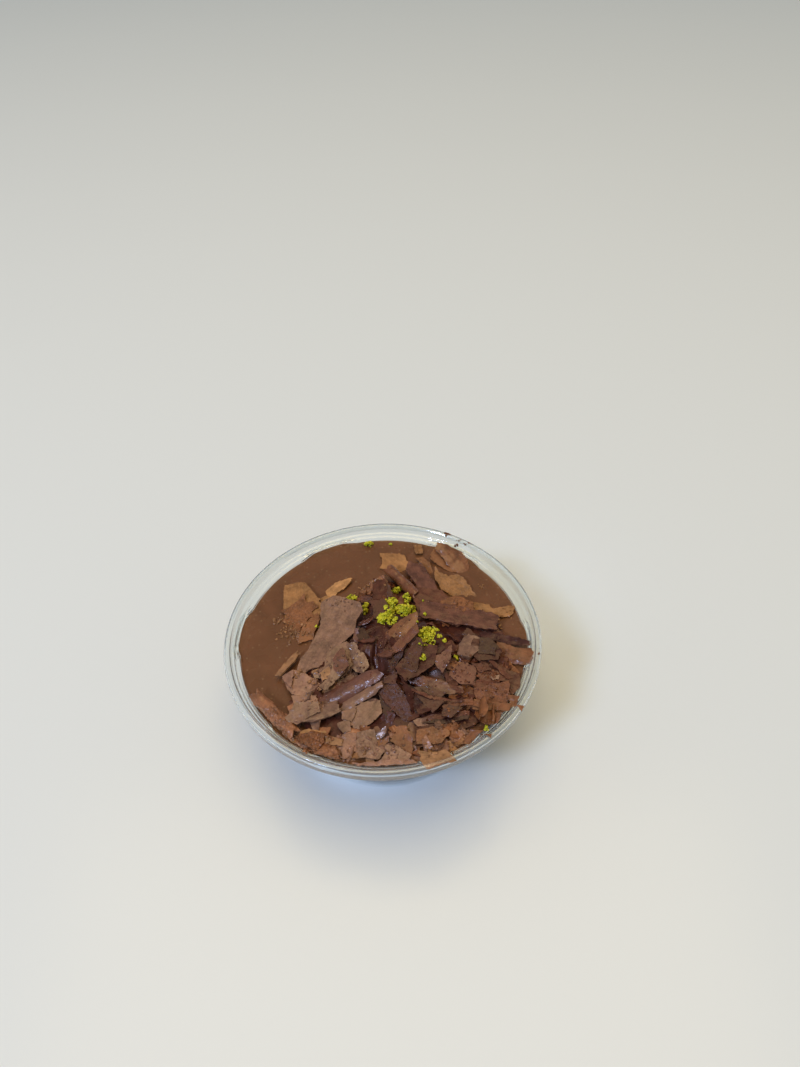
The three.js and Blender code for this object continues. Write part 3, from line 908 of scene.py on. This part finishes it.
# Looks of the cut flakes: brown, wet, how steeply it faces the front and rises to the right,
# curl in degrees, lift in millimetres, and how crumbly it is. The outlines follow it, x and y.
LOW_FLAKES = [
    (("rose", 0, 0.1, 0.1, 0, 0.3, 0), (-33, 1, -26, 4, -26, -2, -32, -3)),
    (("tan", 0.1, 0.2, 0, 10, 0.4, 0), (-28, -41, -25, -40, -19, -41, -19, -44, -23, -47.5, -27, -44)),
    (("dark", 0, 0.15, 0, 0, 1, 0), (12, 17, 13, 23, 23, 21, 26, 15, 32, 10, 29, 3, 14, 5)),
    (("deep", 0, 0.3, 0, 0, 1, 0), (-4, 16, 1, 16.5, 3, 11, 1, 7, -3, 7)),
    (("deep", 0.1, 0.1, 0, 0, 1, 0), (4, -15, 9, -9, 14, -4, 20, -6, 18, -14, 12, -19, 8, -21)),
    (("deep", 0.1, 0.2, 0, 0, 1, 0), (33, -3, 40, -4, 43, -8, 41, -13, 34, -13, 31, -8)),
    (("dark", 0.2, 0.1, 0, 0, 0.8, 0), (32, -16, 39, -14, 44, -17, 43, -22, 35, -23)),
    (("dark", 0.2, 0.1, 0.1, 0, 0.8, 0), (43, -17, 48.5, -19, 48, -25, 45, -28, 42, -23)),
    (("umber", 0.2, 0, 0, 0, 0.6, 0.5), (-29, -43, -25, -40, -17, -43, -14, -50, -20, -49)),
    (("mauve", 0.3, 0.2, 0, 0, 0.8, 0), (-20, -8, -13, -3, -8, -10, -14, -19, -21, -17)),
    (("rose", 0.3, 0.3, 0.1, 0, 0.5, 0), (-22.5, -17, -17.5, -12.5, -17.5, -18, -21, -21)),
    (("gold", 0.3, 0.2, 0.1, 0, 0.4, 0), (-22, -16.5, -17.5, -13.5, -17, -16, -19, -19.5, -21, -20)),
    (
        ("rose", 0.4, 0.2, 0.1, 14, 0.5, 0),
        (-36, -18, -31.5, -15, -23, -20, -21, -24, -27, -27.5, -32, -26),
    ),
    (("rose", 0.3, 0.1, 0.3, 0, 0.3, 0), (-35.5, -18, -31.5, -15, -32, -23, -35, -20)),
    (
        ("mauve", 0.6, 0.3, -0.1, 40, 0.6, 0),
        (-18, -9.5, -13, -13, -13, -17, -20, -24.5, -22, -23, -18.5, -18),
    ),
    (
        ("plum", 0.1, 0.3, 0.2, 0, 0.5, 0),
        (-17.5, -10.5, -14, -5.5, -13, -8.5, -11.5, -13.5, -14.5, -17.5, -17.5, -15.5),
    ),
]
BACK_FLAKES = [
    (("umber", 0, 0.3, 0.1, 10, 0.4, 0), (13.5, 37.5, 16.5, 38, 19.5, 34, 20.5, 27.5, 17.5, 31)),
    (
        ("umber", 0, 0.3, 0, 10, 0.5, 0),
        (19, 39, 21, 42, 23.5, 38.5, 27, 33, 30, 29, 26.5, 29.5, 22.5, 33.5, 19.5, 37),
    ),
    (("umber", 0, 0.15, 0, 0, 0.4, 0.4), (22, 14, 28, 16.5, 34.5, 13, 34, 8, 27, 6.5, 21.5, 9)),
    (("dark", 0.1, 0.7, -0.3, 12, 0.5, 0), (-4, 14, -3.5, 25.5, 1, 25, 3, 14, -1, 12)),
    (("deep", 0.1, 0.4, 0.2, 0, 0.3, 0), (1, 25, 3, 22, 5, 12, 2.5, 12)),
    (("rust", 0.1, 0.3, 0.2, 10, 0.8, 1), (-9, 19, -5, 24, 0, 27.5, 2, 24, -3, 22, -5, 17.5)),
    (("cocoa", 0, 0.3, 0, 0, 0.4, 0), (4.5, 15.5, 7.5, 13, 9, 9, 6, 9.5)),
    (("dark", 0, 0.4, 0.2, 0, 0.5, 0.6), (-9, 16.5, -6, 17.5, -2.5, 14.5, -4, 13, -8, 14)),
]
LEFT_FLAKES = [
    (
        ("umber", 0.1, 0.15, 0, 0, 0.3, 0.6),
        (-33, 16.5, -31, 20, -29.5, 15.5, -27, 16, -25, 13, -27.5, 11, -26.5, 9, -29, 7, -28.5, 4.5,
         -31, 3.5, -32, 0, -35.5, 1.5, -36, 4.5, -38.5, 6.5, -37, 9, -39.5, 11.5, -37, 13),
    ),
    (
        ("umber", 0.1, 0.2, 0, 0, 0.3, 0.3),
        (-30, 4.5, -25, 10.5, -24, 8.5, -25, 3, -26.5, -1, -31.5, -3.5, -32, -1),
    ),
    (("umber", 0.1, 0.2, 0, 0, 0.3, 0), (-31.5, -1.5, -27, 0, -26, -2.5, -31.5, -4.5)),
    (("tan", 0, 0.2, 0, 0, 0.3, 0), (-24.5, 18, -22.5, 19, -20, 18, -21, 15.5, -24.5, 14.5)),
    (
        ("mauve", 1, 0.3, 0.3, -30, 0.6, 0.1),
        (-13.5, -5.5, -10, -4, -8.5, -7, -6.5, -9.5, -4.5, -15, -7, -18.5, -9.5, -17.5, -11.5, -15,
         -12.5, -10),
    ),
    (("rose", 0.2, 0.3, 0, 10, 0.4, 0), (-31.5, -27.5, -23.5, -27, -22, -31, -26, -32.5, -30, -35)),
    (("rust", 0.3, 0.1, 0.2, 20, 0.4, 0.2), (-33, -32, -31, -30, -30, -35, -32, -36)),
    (("black", 0, 0.2, 0, 0, 0.3, 0), (-9, 3, -6.5, 1.5, -4.5, -1.5, -5, -4.5, -7.5, -4.5, -9, -1.5)),
    (("plum", 0.1, 0.6, 0.1, 0, 0.5, 0), (-10, 2.5, -8.5, 2, -8.5, -3.5, -9.5, -5.5, -10.5, -2.5)),
    (("mauve", 1, 0.5, 0, 0, 0.6, 0), (-25, -17.5, -22.5, -17.5, -22, -20, -24.5, -19.5)),
]
MIDDLE_FLAKES = [
    (("dark", 0.1, 0.35, 0.2, 0, 0.4, 0), (1, -12, 5, -6.5, 12.5, 2, 13.5, -1.5, 7, -9.5, 1.5, -14)),
    (("black", 0.1, 0.3, 0.3, 0, 0.4, 0), (6, -24, 9, -27, 11, -37, 13, -38, 19, -33, 14, -27)),
    (("black", 0.1, 0.35, 0, 0, 0.3, 0), (-2, -27, 3.5, -34.5, 3, -40, 1, -40, -1, -31)),
    (
        ("deep", 0.1, 0.3, 0.2, 0, 0.4, 0),
        (6, -20, 8.5, -11, 12.5, -4, 14.5, -5, 14, -12, 12, -19, 9.5, -22),
    ),
    (("black", 0.1, 0.35, 0.3, 0, 0.5, 0), (1.5, -19, 4.5, -12, 9, -7, 6, -15, 3.5, -19.5)),
    (("plum", 0.3, 0.3, 0.2, 10, 0.5, 0), (18, -13, 20.5, -12, 25, -7.5, 24, -15, 21, -20, 19, -18)),
    (("plum", 0.1, 0.2, 0, -8, 0.5, 0), (24, -19, 29, -15.5, 33, -18.5, 32, -26, 27.5, -25.5, 23.5, -22)),
    (("deep", 0.3, 0.3, 0.1, 0, 0.3, 0), (11, -26, 15, -25.5, 22, -28.5, 19, -32, 15.5, -31)),
    (("deep", 0.1, 0.2, 0, 60, 0.4, 0), (10.5, -33, 16, -33, 19.5, -31.5, 16, -36, 12, -37)),
    (("deep", 0.1, 0.5, -0.5, 14, 0.5, 0), (6, -21, 10, -27, 11, -33, 11, -40, 9, -33)),
    (
        ("deep", 0.1, 0.45, 0.1, 12, 0.6, 0.3),
        (-2.5, -26, 1, -20.5, 5, -24, 9, -31, 10.5, -41.5, 7, -40, 0, -31),
    ),
    (("deep", 0.1, 0.5, 0, 0, 0.5, 0), (0.5, -21, 5.5, -19.5, 4.5, -24.5, 0.5, -24)),
    (("black", 0.2, 0.3, 0.1, 0, 0.5, 0), (35.5, -5, 39.5, -5.5, 41, -8.5, 40, -13, 34, -12)),
]
RIGHT_FLAKES = [
    (("deep", 0.2, 0.3, 0, 0, 0.4, 0), (11, -27, 21.5, -29.5, 18.5, -33, 17, -35, 13.5, -30.5)),
    (("dark", 0.1, 0.3, 0, 0, 0.5, 0.3), (31.5, -15, 37, -14.5, 38.5, -18, 34.5, -19)),
    (("dark", 0.1, 0.3, -0.2, 0, 0.5, 0), (37.5, -14, 39.5, -14, 46, -21.5, 44, -22.5)),
    (
        ("umber", 0.1, 0.3, 0, 0, 0.4, 0),
        (30.5, -32, 31.5, -30, 37, -32, 42.5, -33, 46.5, -29.5, 46, -32, 40.5, -36, 36, -35, 30.5, -34),
    ),
    (
        ("cocoa", 0.2, 0.3, 0.1, 8, 0.5, 0.6),
        (31.5, -28, 36, -24.5, 40.5, -23.5, 44, -22.5, 44, -25, 42.5, -33, 37, -32.5, 32, -30.5),
    ),
    (("cocoa", 0.1, 0.4, 0, 10, 0.6, 0), (31, -30.5, 44, -32, 42.5, -35, 36, -34.5, 30.5, -32.5)),
    (("cocoa", 0.1, 0.3, 0.3, 0, 0.4, 0.2), (37.5, -35.5, 40, -35.5, 38.5, -39, 36.5, -40.5)),
    (("umber", 0.3, 0.3, 0.5, 30, 0.4, 0), (43, -28.5, 47, -29, 45, -33.5, 46, -35, 43.5, -32)),
    (("dark", 0.1, 0.5, 0, 0, 0.5, 0), (10, -39, 15.5, -36, 29.5, -34.5, 29.5, -36.5, 20, -38)),
    (("black", 0.2, 0.3, 0, 0, 0.3, 0), (13, -39, 20.5, -37.5, 29.5, -36.5, 29, -38, 19, -40)),
    (("dark", 0.1, 0.3, 0, 0, 0.4, 0), (20, -32.5, 22.5, -31, 26, -32, 21.5, -35.5)),
    (
        ("cocoa", 0.1, 0.25, 0.1, 0, 0.4, 0.6),
        (22.5, -31, 30.5, -29.5, 31, -32, 27, -32.5, 25, -34.5, 23, -33),
    ),
    (("deep", 0.2, 0.3, 0.1, 10, 0.5, 0), (20, -34, 22.5, -32, 27, -33, 22.5, -37.5, 20, -36)),
    (("mauve", 1, 0.4, 0, 0, 0.5, 0), (38, -20.5, 41, -20, 40.5, -22, 38.5, -22.5)),
    (
        ("plum", 0.5, 0.4, 0, 14, 0.5, 0),
        (15.5, -22, 18, -21.5, 21.5, -22, 23, -24.5, 25.5, -27, 24.5, -28, 18.5, -27, 16, -24.5),
    ),
    (
        ("dark", 0.2, 0.6, -0.1, 30, 0.7, 0),
        (10, -24.5, 16, -27.5, 23, -29.5, 27.5, -30, 27, -31, 22, -30.5, 16, -29, 10, -25.5),
    ),
]
FRONT_FLAKES = [
    (
        ("mauve", 0.3, 0.3, 0.3, -70, 0.5, 0),
        (-15, -33, -13.5, -29.5, -9, -25.5, -3.5, -22.5, 0, -20.5, 0, -23, -3, -26.5, -7.5, -29.5,
         -12, -32.5),
    ),
    (
        ("mauve", 0.3, 0.3, 0, 6, 0.5, 0),
        (-10.5, -35, -9.5, -31.5, -7, -29.5, -1, -28.5, 0, -34, -2, -36.5, -6.5, -40, -10, -41.5),
    ),
    (("rose", 0.2, 0.3, 0, 0, 0.5, 0), (-14, -33, -10, -32.5, -10, -39, -13, -40)),
    (("rust", 0.2, 0.15, 0, 0, 0.4, 1), (-23, -47.5, -15, -48, -14, -52, -18, -50.5, -22.5, -49)),
    (
        ("umber", 0.1, 0.2, 0, 0, 0.5, 1),
        (-28, -41.5, -23.5, -41, -19, -42, -19.5, -45.5, -21.5, -48.5, -27, -45),
    ),
    (
        ("rose", 0.2, 0.3, 0, 0, 1.2, 0.3),
        (-10, -53, -3.5, -52.5, 3.5, -52, 10, -52, 11.5, -53.5, 3.5, -54, -3, -54.5, -8.5, -54),
    ),
    (
        ("mauve", 0.4, 0.25, 0.1, 8, 0.4, 0),
        (-33, -35, -31.5, -33.5, -30, -29, -22, -28.5, -21, -32.5, -25, -35, -29, -38, -32.5, -37),
    ),
    (("mauve", 0.2, 0.3, 0, 0, 0.4, 0), (-15.5, -37.5, -11, -37, -10.5, -41, -13.5, -42, -15, -40)),
    (("mauve", 0.1, 0.3, 0, 0, 0.5, 0), (-13.5, -33.5, -9, -31, -9.5, -35, -10.5, -37.5, -14, -36)),
    (("gold", 0.1, 0.3, 0, 0, 0.4, 0), (-19.5, -42.5, -13.5, -44, -13.5, -46.5, -19, -45.5)),
    (
        ("rose", 0.2, 0.25, -0.1, 0, 0.4, 0.3),
        (-13.5, -42, -10.5, -41.5, -7.5, -42, -8.5, -47.5, -11.5, -51.5, -13, -52, -13.5, -48.5),
    ),
    (
        ("mauve", 0.4, 0.2, 0, 0, 0.5, 0.3),
        (-8.5, -41.5, -3, -40.5, -1, -46.5, 1, -49, -1, -52, -7.5, -51, -8.5, -47.5),
    ),
    (("rose", 0.5, 0.2, 0, 0, 0.5, 0.2), (1, -46.5, 4, -46.5, 9.5, -50.5, 8.5, -52.5, -1, -52.5, 1, -49)),
    (
        ("cocoa", 0.3, 0.35, 0, 12, 0.5, 0),
        (2.5, -45, 5.5, -39, 8, -39.5, 10, -44.5, 9.5, -51.5, 7.5, -49.5, 4, -46.5),
    ),
    (("umber", 0.2, 0.4, 0, 0, 0.5, 0), (-2, -45, 2, -43, 2, -45.5, 0.5, -47, -1.5, -47)),
    (("mauve", 1, 0.7, 0.2, 0, 0.6, 0), (-2.5, -42.5, 1, -39, 1.5, -41.5, -1, -45, -2, -45)),
    (
        ("umber", 0.3, 0.2, 0, 14, 0.5, 0.3),
        (11, -41, 16.5, -40, 21.5, -41, 22.5, -43, 19.5, -46.5, 18, -47, 11, -47),
    ),
    (
        ("gold", 0.1, 0.15, 0, 0, 0.6, 0.2),
        (11.5, -48.5, 16, -49.5, 20.5, -48.5, 22.5, -50.5, 24, -52.5, 19, -53.5, 14, -55.5,
         12.5, -52.5),
    ),
    (("cocoa", 0.1, 0.3, 0.2, 8, 0.5, 0), (26, -47, 29.5, -41.5, 33.5, -41.5, 28.5, -47.5)),
    (("cocoa", 0.1, 0, 0, 0, 0.5, 0.5), (9.5, -50.5, 12, -48.5, 12.5, -51.5)),
    (("rust", 0, 0, 0.3, 0, 0.6, 0.5), (33.5, -42.5, 36, -43, 35.5, -44.5)),
    (("rust", 0, 0, 0.3, 0, 0.6, 0.3), (45.5, -32, 48, -32.5, 47, -34.5)),
]
# Large shavings that are cut to their outline too: the height each is drawn at, look and outline.
REDRAWN = {
    "flat_shaving_back_left": (
        43.6, ("sand", 0, 0.1, 0.1, 6, 0.4, 0),
        (-23, 23, -19.5, 27, -15.5, 29.5, -12.5, 30, -12.5, 28.5, -15, 24.5, -18, 22.5, -19.5, 18.5,
         -21.5, 19),
    ),
    "flat_shaving_back": (
        43.6, ("tan", 0, 0.1, 0, 8, 0.4, 0),
        (-1.5, 44, 3, 43.5, 6.5, 43, 9, 41.5, 10.5, 37, 8.5, 32.5, 3.5, 33.5, 1, 34, -1, 35, 0, 37.5),
    ),
    "flat_shaving_left": (
        44, ("tan", 0, 0.12, 0, 8, 0.4, 0.1),
        (-39, 26, -35.5, 27.5, -31, 28, -28, 23.5, -24.5, 18.5, -25, 17.5, -23, 14, -25, 9.5, -29, 5,
         -32, 1, -35.5, 2.5, -38, 10, -39, 19.5),
    ),
    "flat_shaving_right": (
        45.5, ("tan", 0, 0.2, 0, 0, 0.5, 0.1),
        (29.5, 17, 34, 14.5, 41, 13, 42, 11, 51, 12.5, 49.5, 7.5, 44, 6.5, 40.5, 7.5, 32, 8.5,
         29.5, 12),
    ),
    "wide_shaving_right_back": (
        46, ("tan", 0, 0.3, 0, 10, 0.5, 0.4),
        (21, 33, 22.5, 30, 26.5, 28, 30, 28.5, 33, 25, 36.5, 18, 36.5, 14.5, 32.5, 14, 27.5, 17,
         23, 21, 20.5, 27.5),
    ),
    "half_tube_back_right": (
        47.5, ("umber", 0.5, 0.35, -0.2, -60, 0.8, 0),
        (21.5, 42.5, 22.5, 45.5, 26.5, 43.5, 29, 42, 34, 40.5, 34.5, 36, 36, 24.5, 33, 25.5, 30, 28,
         27, 32),
    ),
    "dark_strip_right": (
        47, ("deep", 0.2, 0.7, -0.1, 20, 0.5, 0),
        (35.5, -1.5, 39, -1.5, 43, -2.5, 54, -6, 54, -8.5, 47.5, -8, 42.5, -7, 38.5, -4.5, 35.5, -3.5),
    ),
    "wide_slab_left": (
        48, ("mauve", 0.2, 0.15, 0.15, 12, 1.2, 0.25),
        (-30.5, -16, -29.5, -13, -27, -9, -25.5, -5, -24, -0.5, -23, 3.5, -23, 12.5, -21, 14, -18, 16,
         -14, 15, -8, 12, -7, 8, -9.5, 4, -10, -1.5, -12.5, -4, -15, -7, -18, -11, -22.5, -17.5,
         -25.5, -18, -29, -21.5, -30.5, -20),
    ),
    "shiny_curl_front": (
        47, ("plum", 0.45, 0.3, 0.3, -110, 0.7, 0),
        (-25, -30, -22.5, -27, -17.5, -24, -11.5, -20.5, -6, -17.5, -2, -17, 0.5, -19, -1, -21.5,
         -7, -25.5, -12, -29.5, -15.5, -34, -19.5, -35.5, -23.5, -34),
    ),
    "slab_centre": (
        51.5, ("umber", 0.4, 0.3, 0.3, -50, 0.25, 0),
        (-3.5, -18.5, -4.5, -16, -3.5, -11.5, 0, -5.5, 4, -1, 8.5, 3, 12.5, 5, 13, 2, 11.5, -2.5,
         7.5, -7, 4, -10.5, 0, -14, -2.5, -17.5),
    ),
    "half_tube_right_rim": (
        48, ("cocoa", 0.2, 0.5, 0.1, -50, 0.5, 0),
        (41.5, -7, 44.5, -8, 49, -10, 54, -10, 55, -12, 53.5, -17.5, 50.5, -18, 46, -17, 44, -18,
         41.5, -15, 41, -11),
    ),
}
DRAWN = {
    "back_flakes": (47, BACK_FLAKES), "left_flakes": (46, LEFT_FLAKES),
    "middle_flakes": (48, MIDDLE_FLAKES), "right_flakes": (46, RIGHT_FLAKES),
    "front_flakes": (45, FRONT_FLAKES),
}

# Small flakes that fill a patch: x, y, half width, half depth, count, browns, wet. The dark, deep and
# plum browns of the patches between and under the large shavings are partly painted shade, so that the
# gaps between the flakes above read dark.
PATCHES = [
    (0, -44, 32, 7, 50, ("rust", "gold", "rose", "mauve", "rose"), 0.5),
    (-22, -44, 9, 5, 22, ("rose", "rust", "gold"), 0.5),
    (36, -22, 13, 12, 40, ("cocoa", "dark", "deep", "umber"), 0.2),
    (38, -8, 12, 8, 18, ("deep", "plum", "dark"), 0.2),
    (12, -24, 14, 12, 30, ("deep", "dark", "plum"), 0.2),
    (16, -6, 12, 9, 18, ("dark", "deep"), 0.1),
    (-8, -6, 12, 10, 24, ("plum", "deep", "dark"), 0.4),
    (-20, -20, 11, 10, 26, ("mauve", "gold", "plum", "dark"), 0.6),
    (-4, 20, 8, 9, 16, ("cocoa", "dark", "deep"), 0.1),
    (10, 20, 14, 10, 22, ("cocoa", "dark"), 0.05),
    (26, 12, 12, 8, 14, ("umber", "cocoa"), 0.05),
]
SMALL_KINDS = tuple(KINDS)
WALL_CLEARANCE = 0.5


def patch_flakes(trees):
    """Small flakes scattered over each patch, kept inside the wall of the cup."""
    laid = []
    for x, y, half_width, half_depth, count, browns, wet in PATCHES:
        for _ in range(count):
            spot_x = x + half_width * CHANCE.uniform(-1, 1)
            spot_y = y + half_depth * CHANCE.uniform(-1, 1)
            length = CHANCE.uniform(3, 8)
            out = math.hypot(spot_x, spot_y)
            most = RING_RADIUS - WALL_CLEARANCE - 0.5 * length
            if out > most:
                spot_x, spot_y = spot_x * most / out, spot_y * most / out
            laid.append(
                lay(
                    CHANCE.choice(SMALL_KINDS), trees, spot_x, spot_y, CHANCE.uniform(0, 360),
                    length, CHANCE.uniform(3, 6), CHANCE.choice(browns),
                    wet * CHANCE.random(), CHANCE.gauss(0, 10), CHANCE.gauss(0, 16),
                    CHANCE.uniform(0.1, 0.8),
                )
            )
    return laid


def pairs(numbers):
    """The (x, y) points of an outline that is written as x, y, x, y."""
    return list(zip(numbers[::2], numbers[1::2]))


def layer(name, pieces):
    """Joins flakes into one piece of dark chocolate."""
    return finish_piece(join(name, pieces), DARK_SHAVED, "dark_chocolate", angle=35)


def heap_flakes():
    """All the flakes between and over the large shavings, from the lowest layer to the top."""
    trees = [tree_of(core), tree_of(cream), tree_of(cup)]
    low = layer("small_flakes", patch_flakes(trees))
    trees.append(tree_of(low))
    layer("low_flakes", [cut_flake(trees, 45, look, pairs(line)) for look, line in LOW_FLAKES])
    trees.extend(tree_of(piece) for piece in large.values())
    for node, (drawn_at, look, line) in REDRAWN.items():
        piece = cut_flake(trees, drawn_at, look, pairs(line))
        piece.name = node + "_cut"
        finish_large(piece, node)
    for name, (drawn_at, rows) in DRAWN.items():
        layer(name, [cut_flake(trees, drawn_at, look, pairs(line)) for look, line in rows])
    return trees


trees = heap_flakes()

# ---------------------------------------------------------------- crumbs and chopped nut

# Chopped nut: x, y, half width, half depth, count, and the height it is drawn at.
NUT_CLUSTERS = [
    (3.2, 9.2, 2.2, 3.8, 150, 50), (1.7, 2.8, 3.4, 2.5, 170, 50), (9.0, 6.8, 3.3, 2.7, 160, 50),
    (5.5, 16.9, 1.8, 1.6, 56, 50), (9.3, 13.0, 1.3, 1.9, 48, 50), (-6.6, 9.0, 1.0, 2.8, 50, 49),
    (-12.3, 16.2, 2.0, 1.0, 40, 47), (16.1, -5.6, 2.8, 4.0, 190, 50), (19.8, -1.8, 0.7, 0.7, 9, 49),
    (20.6, -4.9, 0.9, 0.8, 18, 49), (22.6, -7.0, 0.8, 0.6, 16, 49), (14.3, -13.7, 1.0, 0.9, 24, 48),
    (26.3, -12.2, 0.6, 0.5, 9, 46), (-25.5, 3.5, 0.5, 0.5, 5, 46), (34.7, -41.0, 0.8, 0.6, 12, 45),
    (15.5, 13.2, 0.5, 0.3, 3, 48), (16.0, 6.3, 0.5, 0.4, 3, 48), (12.9, 1.1, 0.4, 0.4, 3, 50),
    (-6.0, 49.0, 1.8, 1.2, 34, 43), (3.0, 49.3, 0.6, 0.4, 6, 43),
]


def drop(trees, x, y, drawn_at):
    """Where a spot drawn at this height meets the surface: its true y and its height."""
    height = drawn_at
    for _ in range(3):
        height = surface(trees, x, y - FORWARD * (height - drawn_at))
    return y - FORWARD * (height - drawn_at), height


def bit(x, y, height, size, flat=1.0):
    """A broken bit of this size, turned at random, with its middle at this height."""
    copy = copy_of(CHANCE.choice(BITS), "bit")
    turn = Euler([CHANCE.uniform(0, 6.28) for _ in range(3)]).to_matrix().to_4x4()
    shape = [size * CHANCE.uniform(0.7, 1.3) for _ in range(3)]
    copy.data.transform(turn @ Matrix.Diagonal((*shape, 1)))
    copy.data.transform(Matrix.Diagonal((1, 1, flat, 1)))
    copy.data.transform(Matrix.Translation((x * MM, y * MM, height * MM)))
    return copy


def nuts(trees):
    """Chopped nut in loose clusters, heaped towards the middle of each."""
    bits = []
    for x, y, half_width, half_depth, count, drawn_at in NUT_CLUSTERS:
        for _ in range(count):
            across = max(-1, min(1, CHANCE.gauss(0, 0.5)))
            along = max(-1, min(1, CHANCE.gauss(0, 0.5)))
            spot_x = x + half_width * across
            spot_y, height = drop(trees, spot_x, y + half_depth * along, drawn_at)
            heap = 2.2 * (1 - across * across) * (1 - along * along) * CHANCE.random()
            height += 0.3 + (heap if count > 20 else 0)
            size = CHANCE.uniform(1.2, 1.9) if CHANCE.random() < 0.15 else CHANCE.uniform(0.5, 1.1)
            bits.append(bit(spot_x, spot_y, height, size))
    finish_piece(join("chopped_nut", bits), PISTACHIO, "green_nut", angle=20)


# Crumbs: x, y, half width, half depth, count, brown, largest size.
CRUMB_PATCHES = [
    (-5, 24, 6, 5, 36, "gold", 1.6), (-34, 4, 6, 5, 50, "gold", 1.5),
    (-40.5, 10.5, 2, 2.5, 10, "gold", 2.0), (-29.5, -17, 2, 2, 10, "gold", 2.0),
    (-15, 11, 6, 4, 24, "mauve", 1.1), (-22, -44, 8, 4, 60, "rust", 1.4),
    (-7, -46, 6, 4, 30, "rose", 1.2), (4, -48, 6, 3, 24, "rose", 1.2),
    (17, -49, 6, 4, 24, "gold", 1.2), (30, 12, 7, 5, 30, "umber", 1.4),
    (38, -22, 9, 9, 60, "cocoa", 1.3), (10, -25, 14, 12, 50, "dark", 1.0),
    (-18, -18, 9, 8, 44, "mauve", 1.2), (39, 25, 2, 2, 5, "tan", 1.4),
    (47, 12, 2, 6, 7, "tan", 1.5), (44, 4, 3, 2, 7, "tan", 1.5), (15, 41.5, 5, 3, 4, "tan", 0.9),
    (57.3, -12, 0.5, 2.0, 4, "cocoa", 1.0), (26.8, 50.6, 1.6, 1.0, 9, "umber", 1.7),
    (30.6, 46.4, 2.2, 1.2, 10, "umber", 1.4), (35.2, 44.8, 2.4, 0.5, 8, "cocoa", 1.2),
    (37, -30, 2, 2, 4, "umber", 1.0), (2, 30, 4, 3, 10, "umber", 1.0),
    (0, -10, 12, 9, 60, "plum", 1.1), (28, -18, 10, 9, 70, "plum", 1.2),
    (-24, -28, 8, 7, 40, "rose", 1.1), (24, -40, 9, 6, 50, "umber", 1.2),
    (-35, 6, 3, 5, 30, "gold", 1.5), (-26, -19, 3, 3, 14, "gold", 1.7),
]

# Crumbs lie no further out than this, just inside the rim's edge.
RIM_REACH = RIM_RADIUS - 1.2


def crumbs(trees):
    """Loose crumbs of chocolate on the heap, round it on the cream, and on the rim."""
    bits = []
    for x, y, half_width, half_depth, count, brown, largest in CRUMB_PATCHES:
        for _ in range(count):
            spot_x = x + half_width * max(-1, min(1, CHANCE.gauss(0, 0.5)))
            spot_y = y + half_depth * max(-1, min(1, CHANCE.gauss(0, 0.5)))
            out = math.hypot(spot_x, spot_y)
            if out > RIM_REACH:
                spot_x, spot_y = spot_x * RIM_REACH / out, spot_y * RIM_REACH / out
            height = surface(trees, spot_x, spot_y) + 0.1
            made = bit(spot_x, spot_y, height, CHANCE.uniform(0.4, largest), 0.7)
            bits.append(colour(made, brown, 0.1, CHANCE.uniform(0.7, 1.1)))
    finish_piece(join("crumbs", bits), DARK_SHAVED, "dark_chocolate", angle=20)


nuts(trees)
crumbs(trees)

for kind in [*KINDS.values(), *BITS]:
    bpy.data.objects.remove(kind)

# ---------------------------------------------------------------- floor, light and camera


FLOOR_WIDTH = 8.0


def floor():
    """A plain pale floor with a faint sheen."""
    select_none()
    bpy.ops.mesh.primitive_plane_add(size=FLOOR_WIDTH)
    slab = bpy.context.object
    slab.name = "floor"
    material, tree, out = new_material("pale_floor")
    plain = add(
        tree, "ShaderNodeBsdfPrincipled",
        {"Base Color": linear("#E6E6E0"), "Roughness": 0.22, "IOR": 1.45},
    )
    tree.links.new(plain.outputs[0], out.inputs["Surface"])
    slab.data.materials.append(material)


def lamp(name, place, aim, size, power, colour_hex):
    """A soft square lamp at a place, turned towards another."""
    light = bpy.data.lights.new(name, "AREA")
    light.size = size
    light.energy = power
    light.color = linear(colour_hex)[:3]
    holder = bpy.data.objects.new(name, light)
    holder.location = place
    holder.rotation_euler = (Vector(aim) - Vector(place)).to_track_quat("-Z", "Y").to_euler()
    bpy.context.scene.collection.objects.link(holder)


def studio():
    """Cool window light from the front left and warm light from the ceiling, under a pale sky."""
    middle = (0, 0, CREAM_LEVEL * MM)
    lamp("cool_window_front_left", (-1.3, -1.3, 1.85), middle, 0.45, 37, "#BCD2FF")
    lamp("warm_ceiling_light", (0.0, 0.1, 2.6), middle, 2.4, 36, "#FFE4A6")
    world = bpy.data.worlds.new("pale_sky")
    bpy.context.scene.world = world
    world.use_nodes = True
    world.node_tree.nodes["Background"].inputs[0].default_value = linear("#E7F4FF")
    world.node_tree.nodes["Background"].inputs[1].default_value = 0.36
    bpy.context.scene.view_settings.view_transform = "Standard"


CAMERA_PLACE = (7.19, -187.51, 278.55)
CAMERA_PITCH = 44.107
CAMERA_ROLL = -1.24
CAMERA_LENS = 27.03


def camera():
    """A camera held in the hand over the front of the cup."""
    data = bpy.data.cameras.new("camera")
    data.lens = CAMERA_LENS
    data.sensor_width = 36
    data.clip_start = 0.01
    holder = bpy.data.objects.new("camera", data)
    tilt = Euler((math.radians(90 - CAMERA_PITCH), 0, 0)).to_matrix()
    roll = Matrix.Rotation(math.radians(CAMERA_ROLL), 3, "Z")
    holder.matrix_world = (tilt @ roll).to_4x4()
    holder.location = [part * MM for part in CAMERA_PLACE]
    bpy.context.scene.collection.objects.link(holder)
    bpy.context.scene.camera = holder


floor()
studio()
camera()
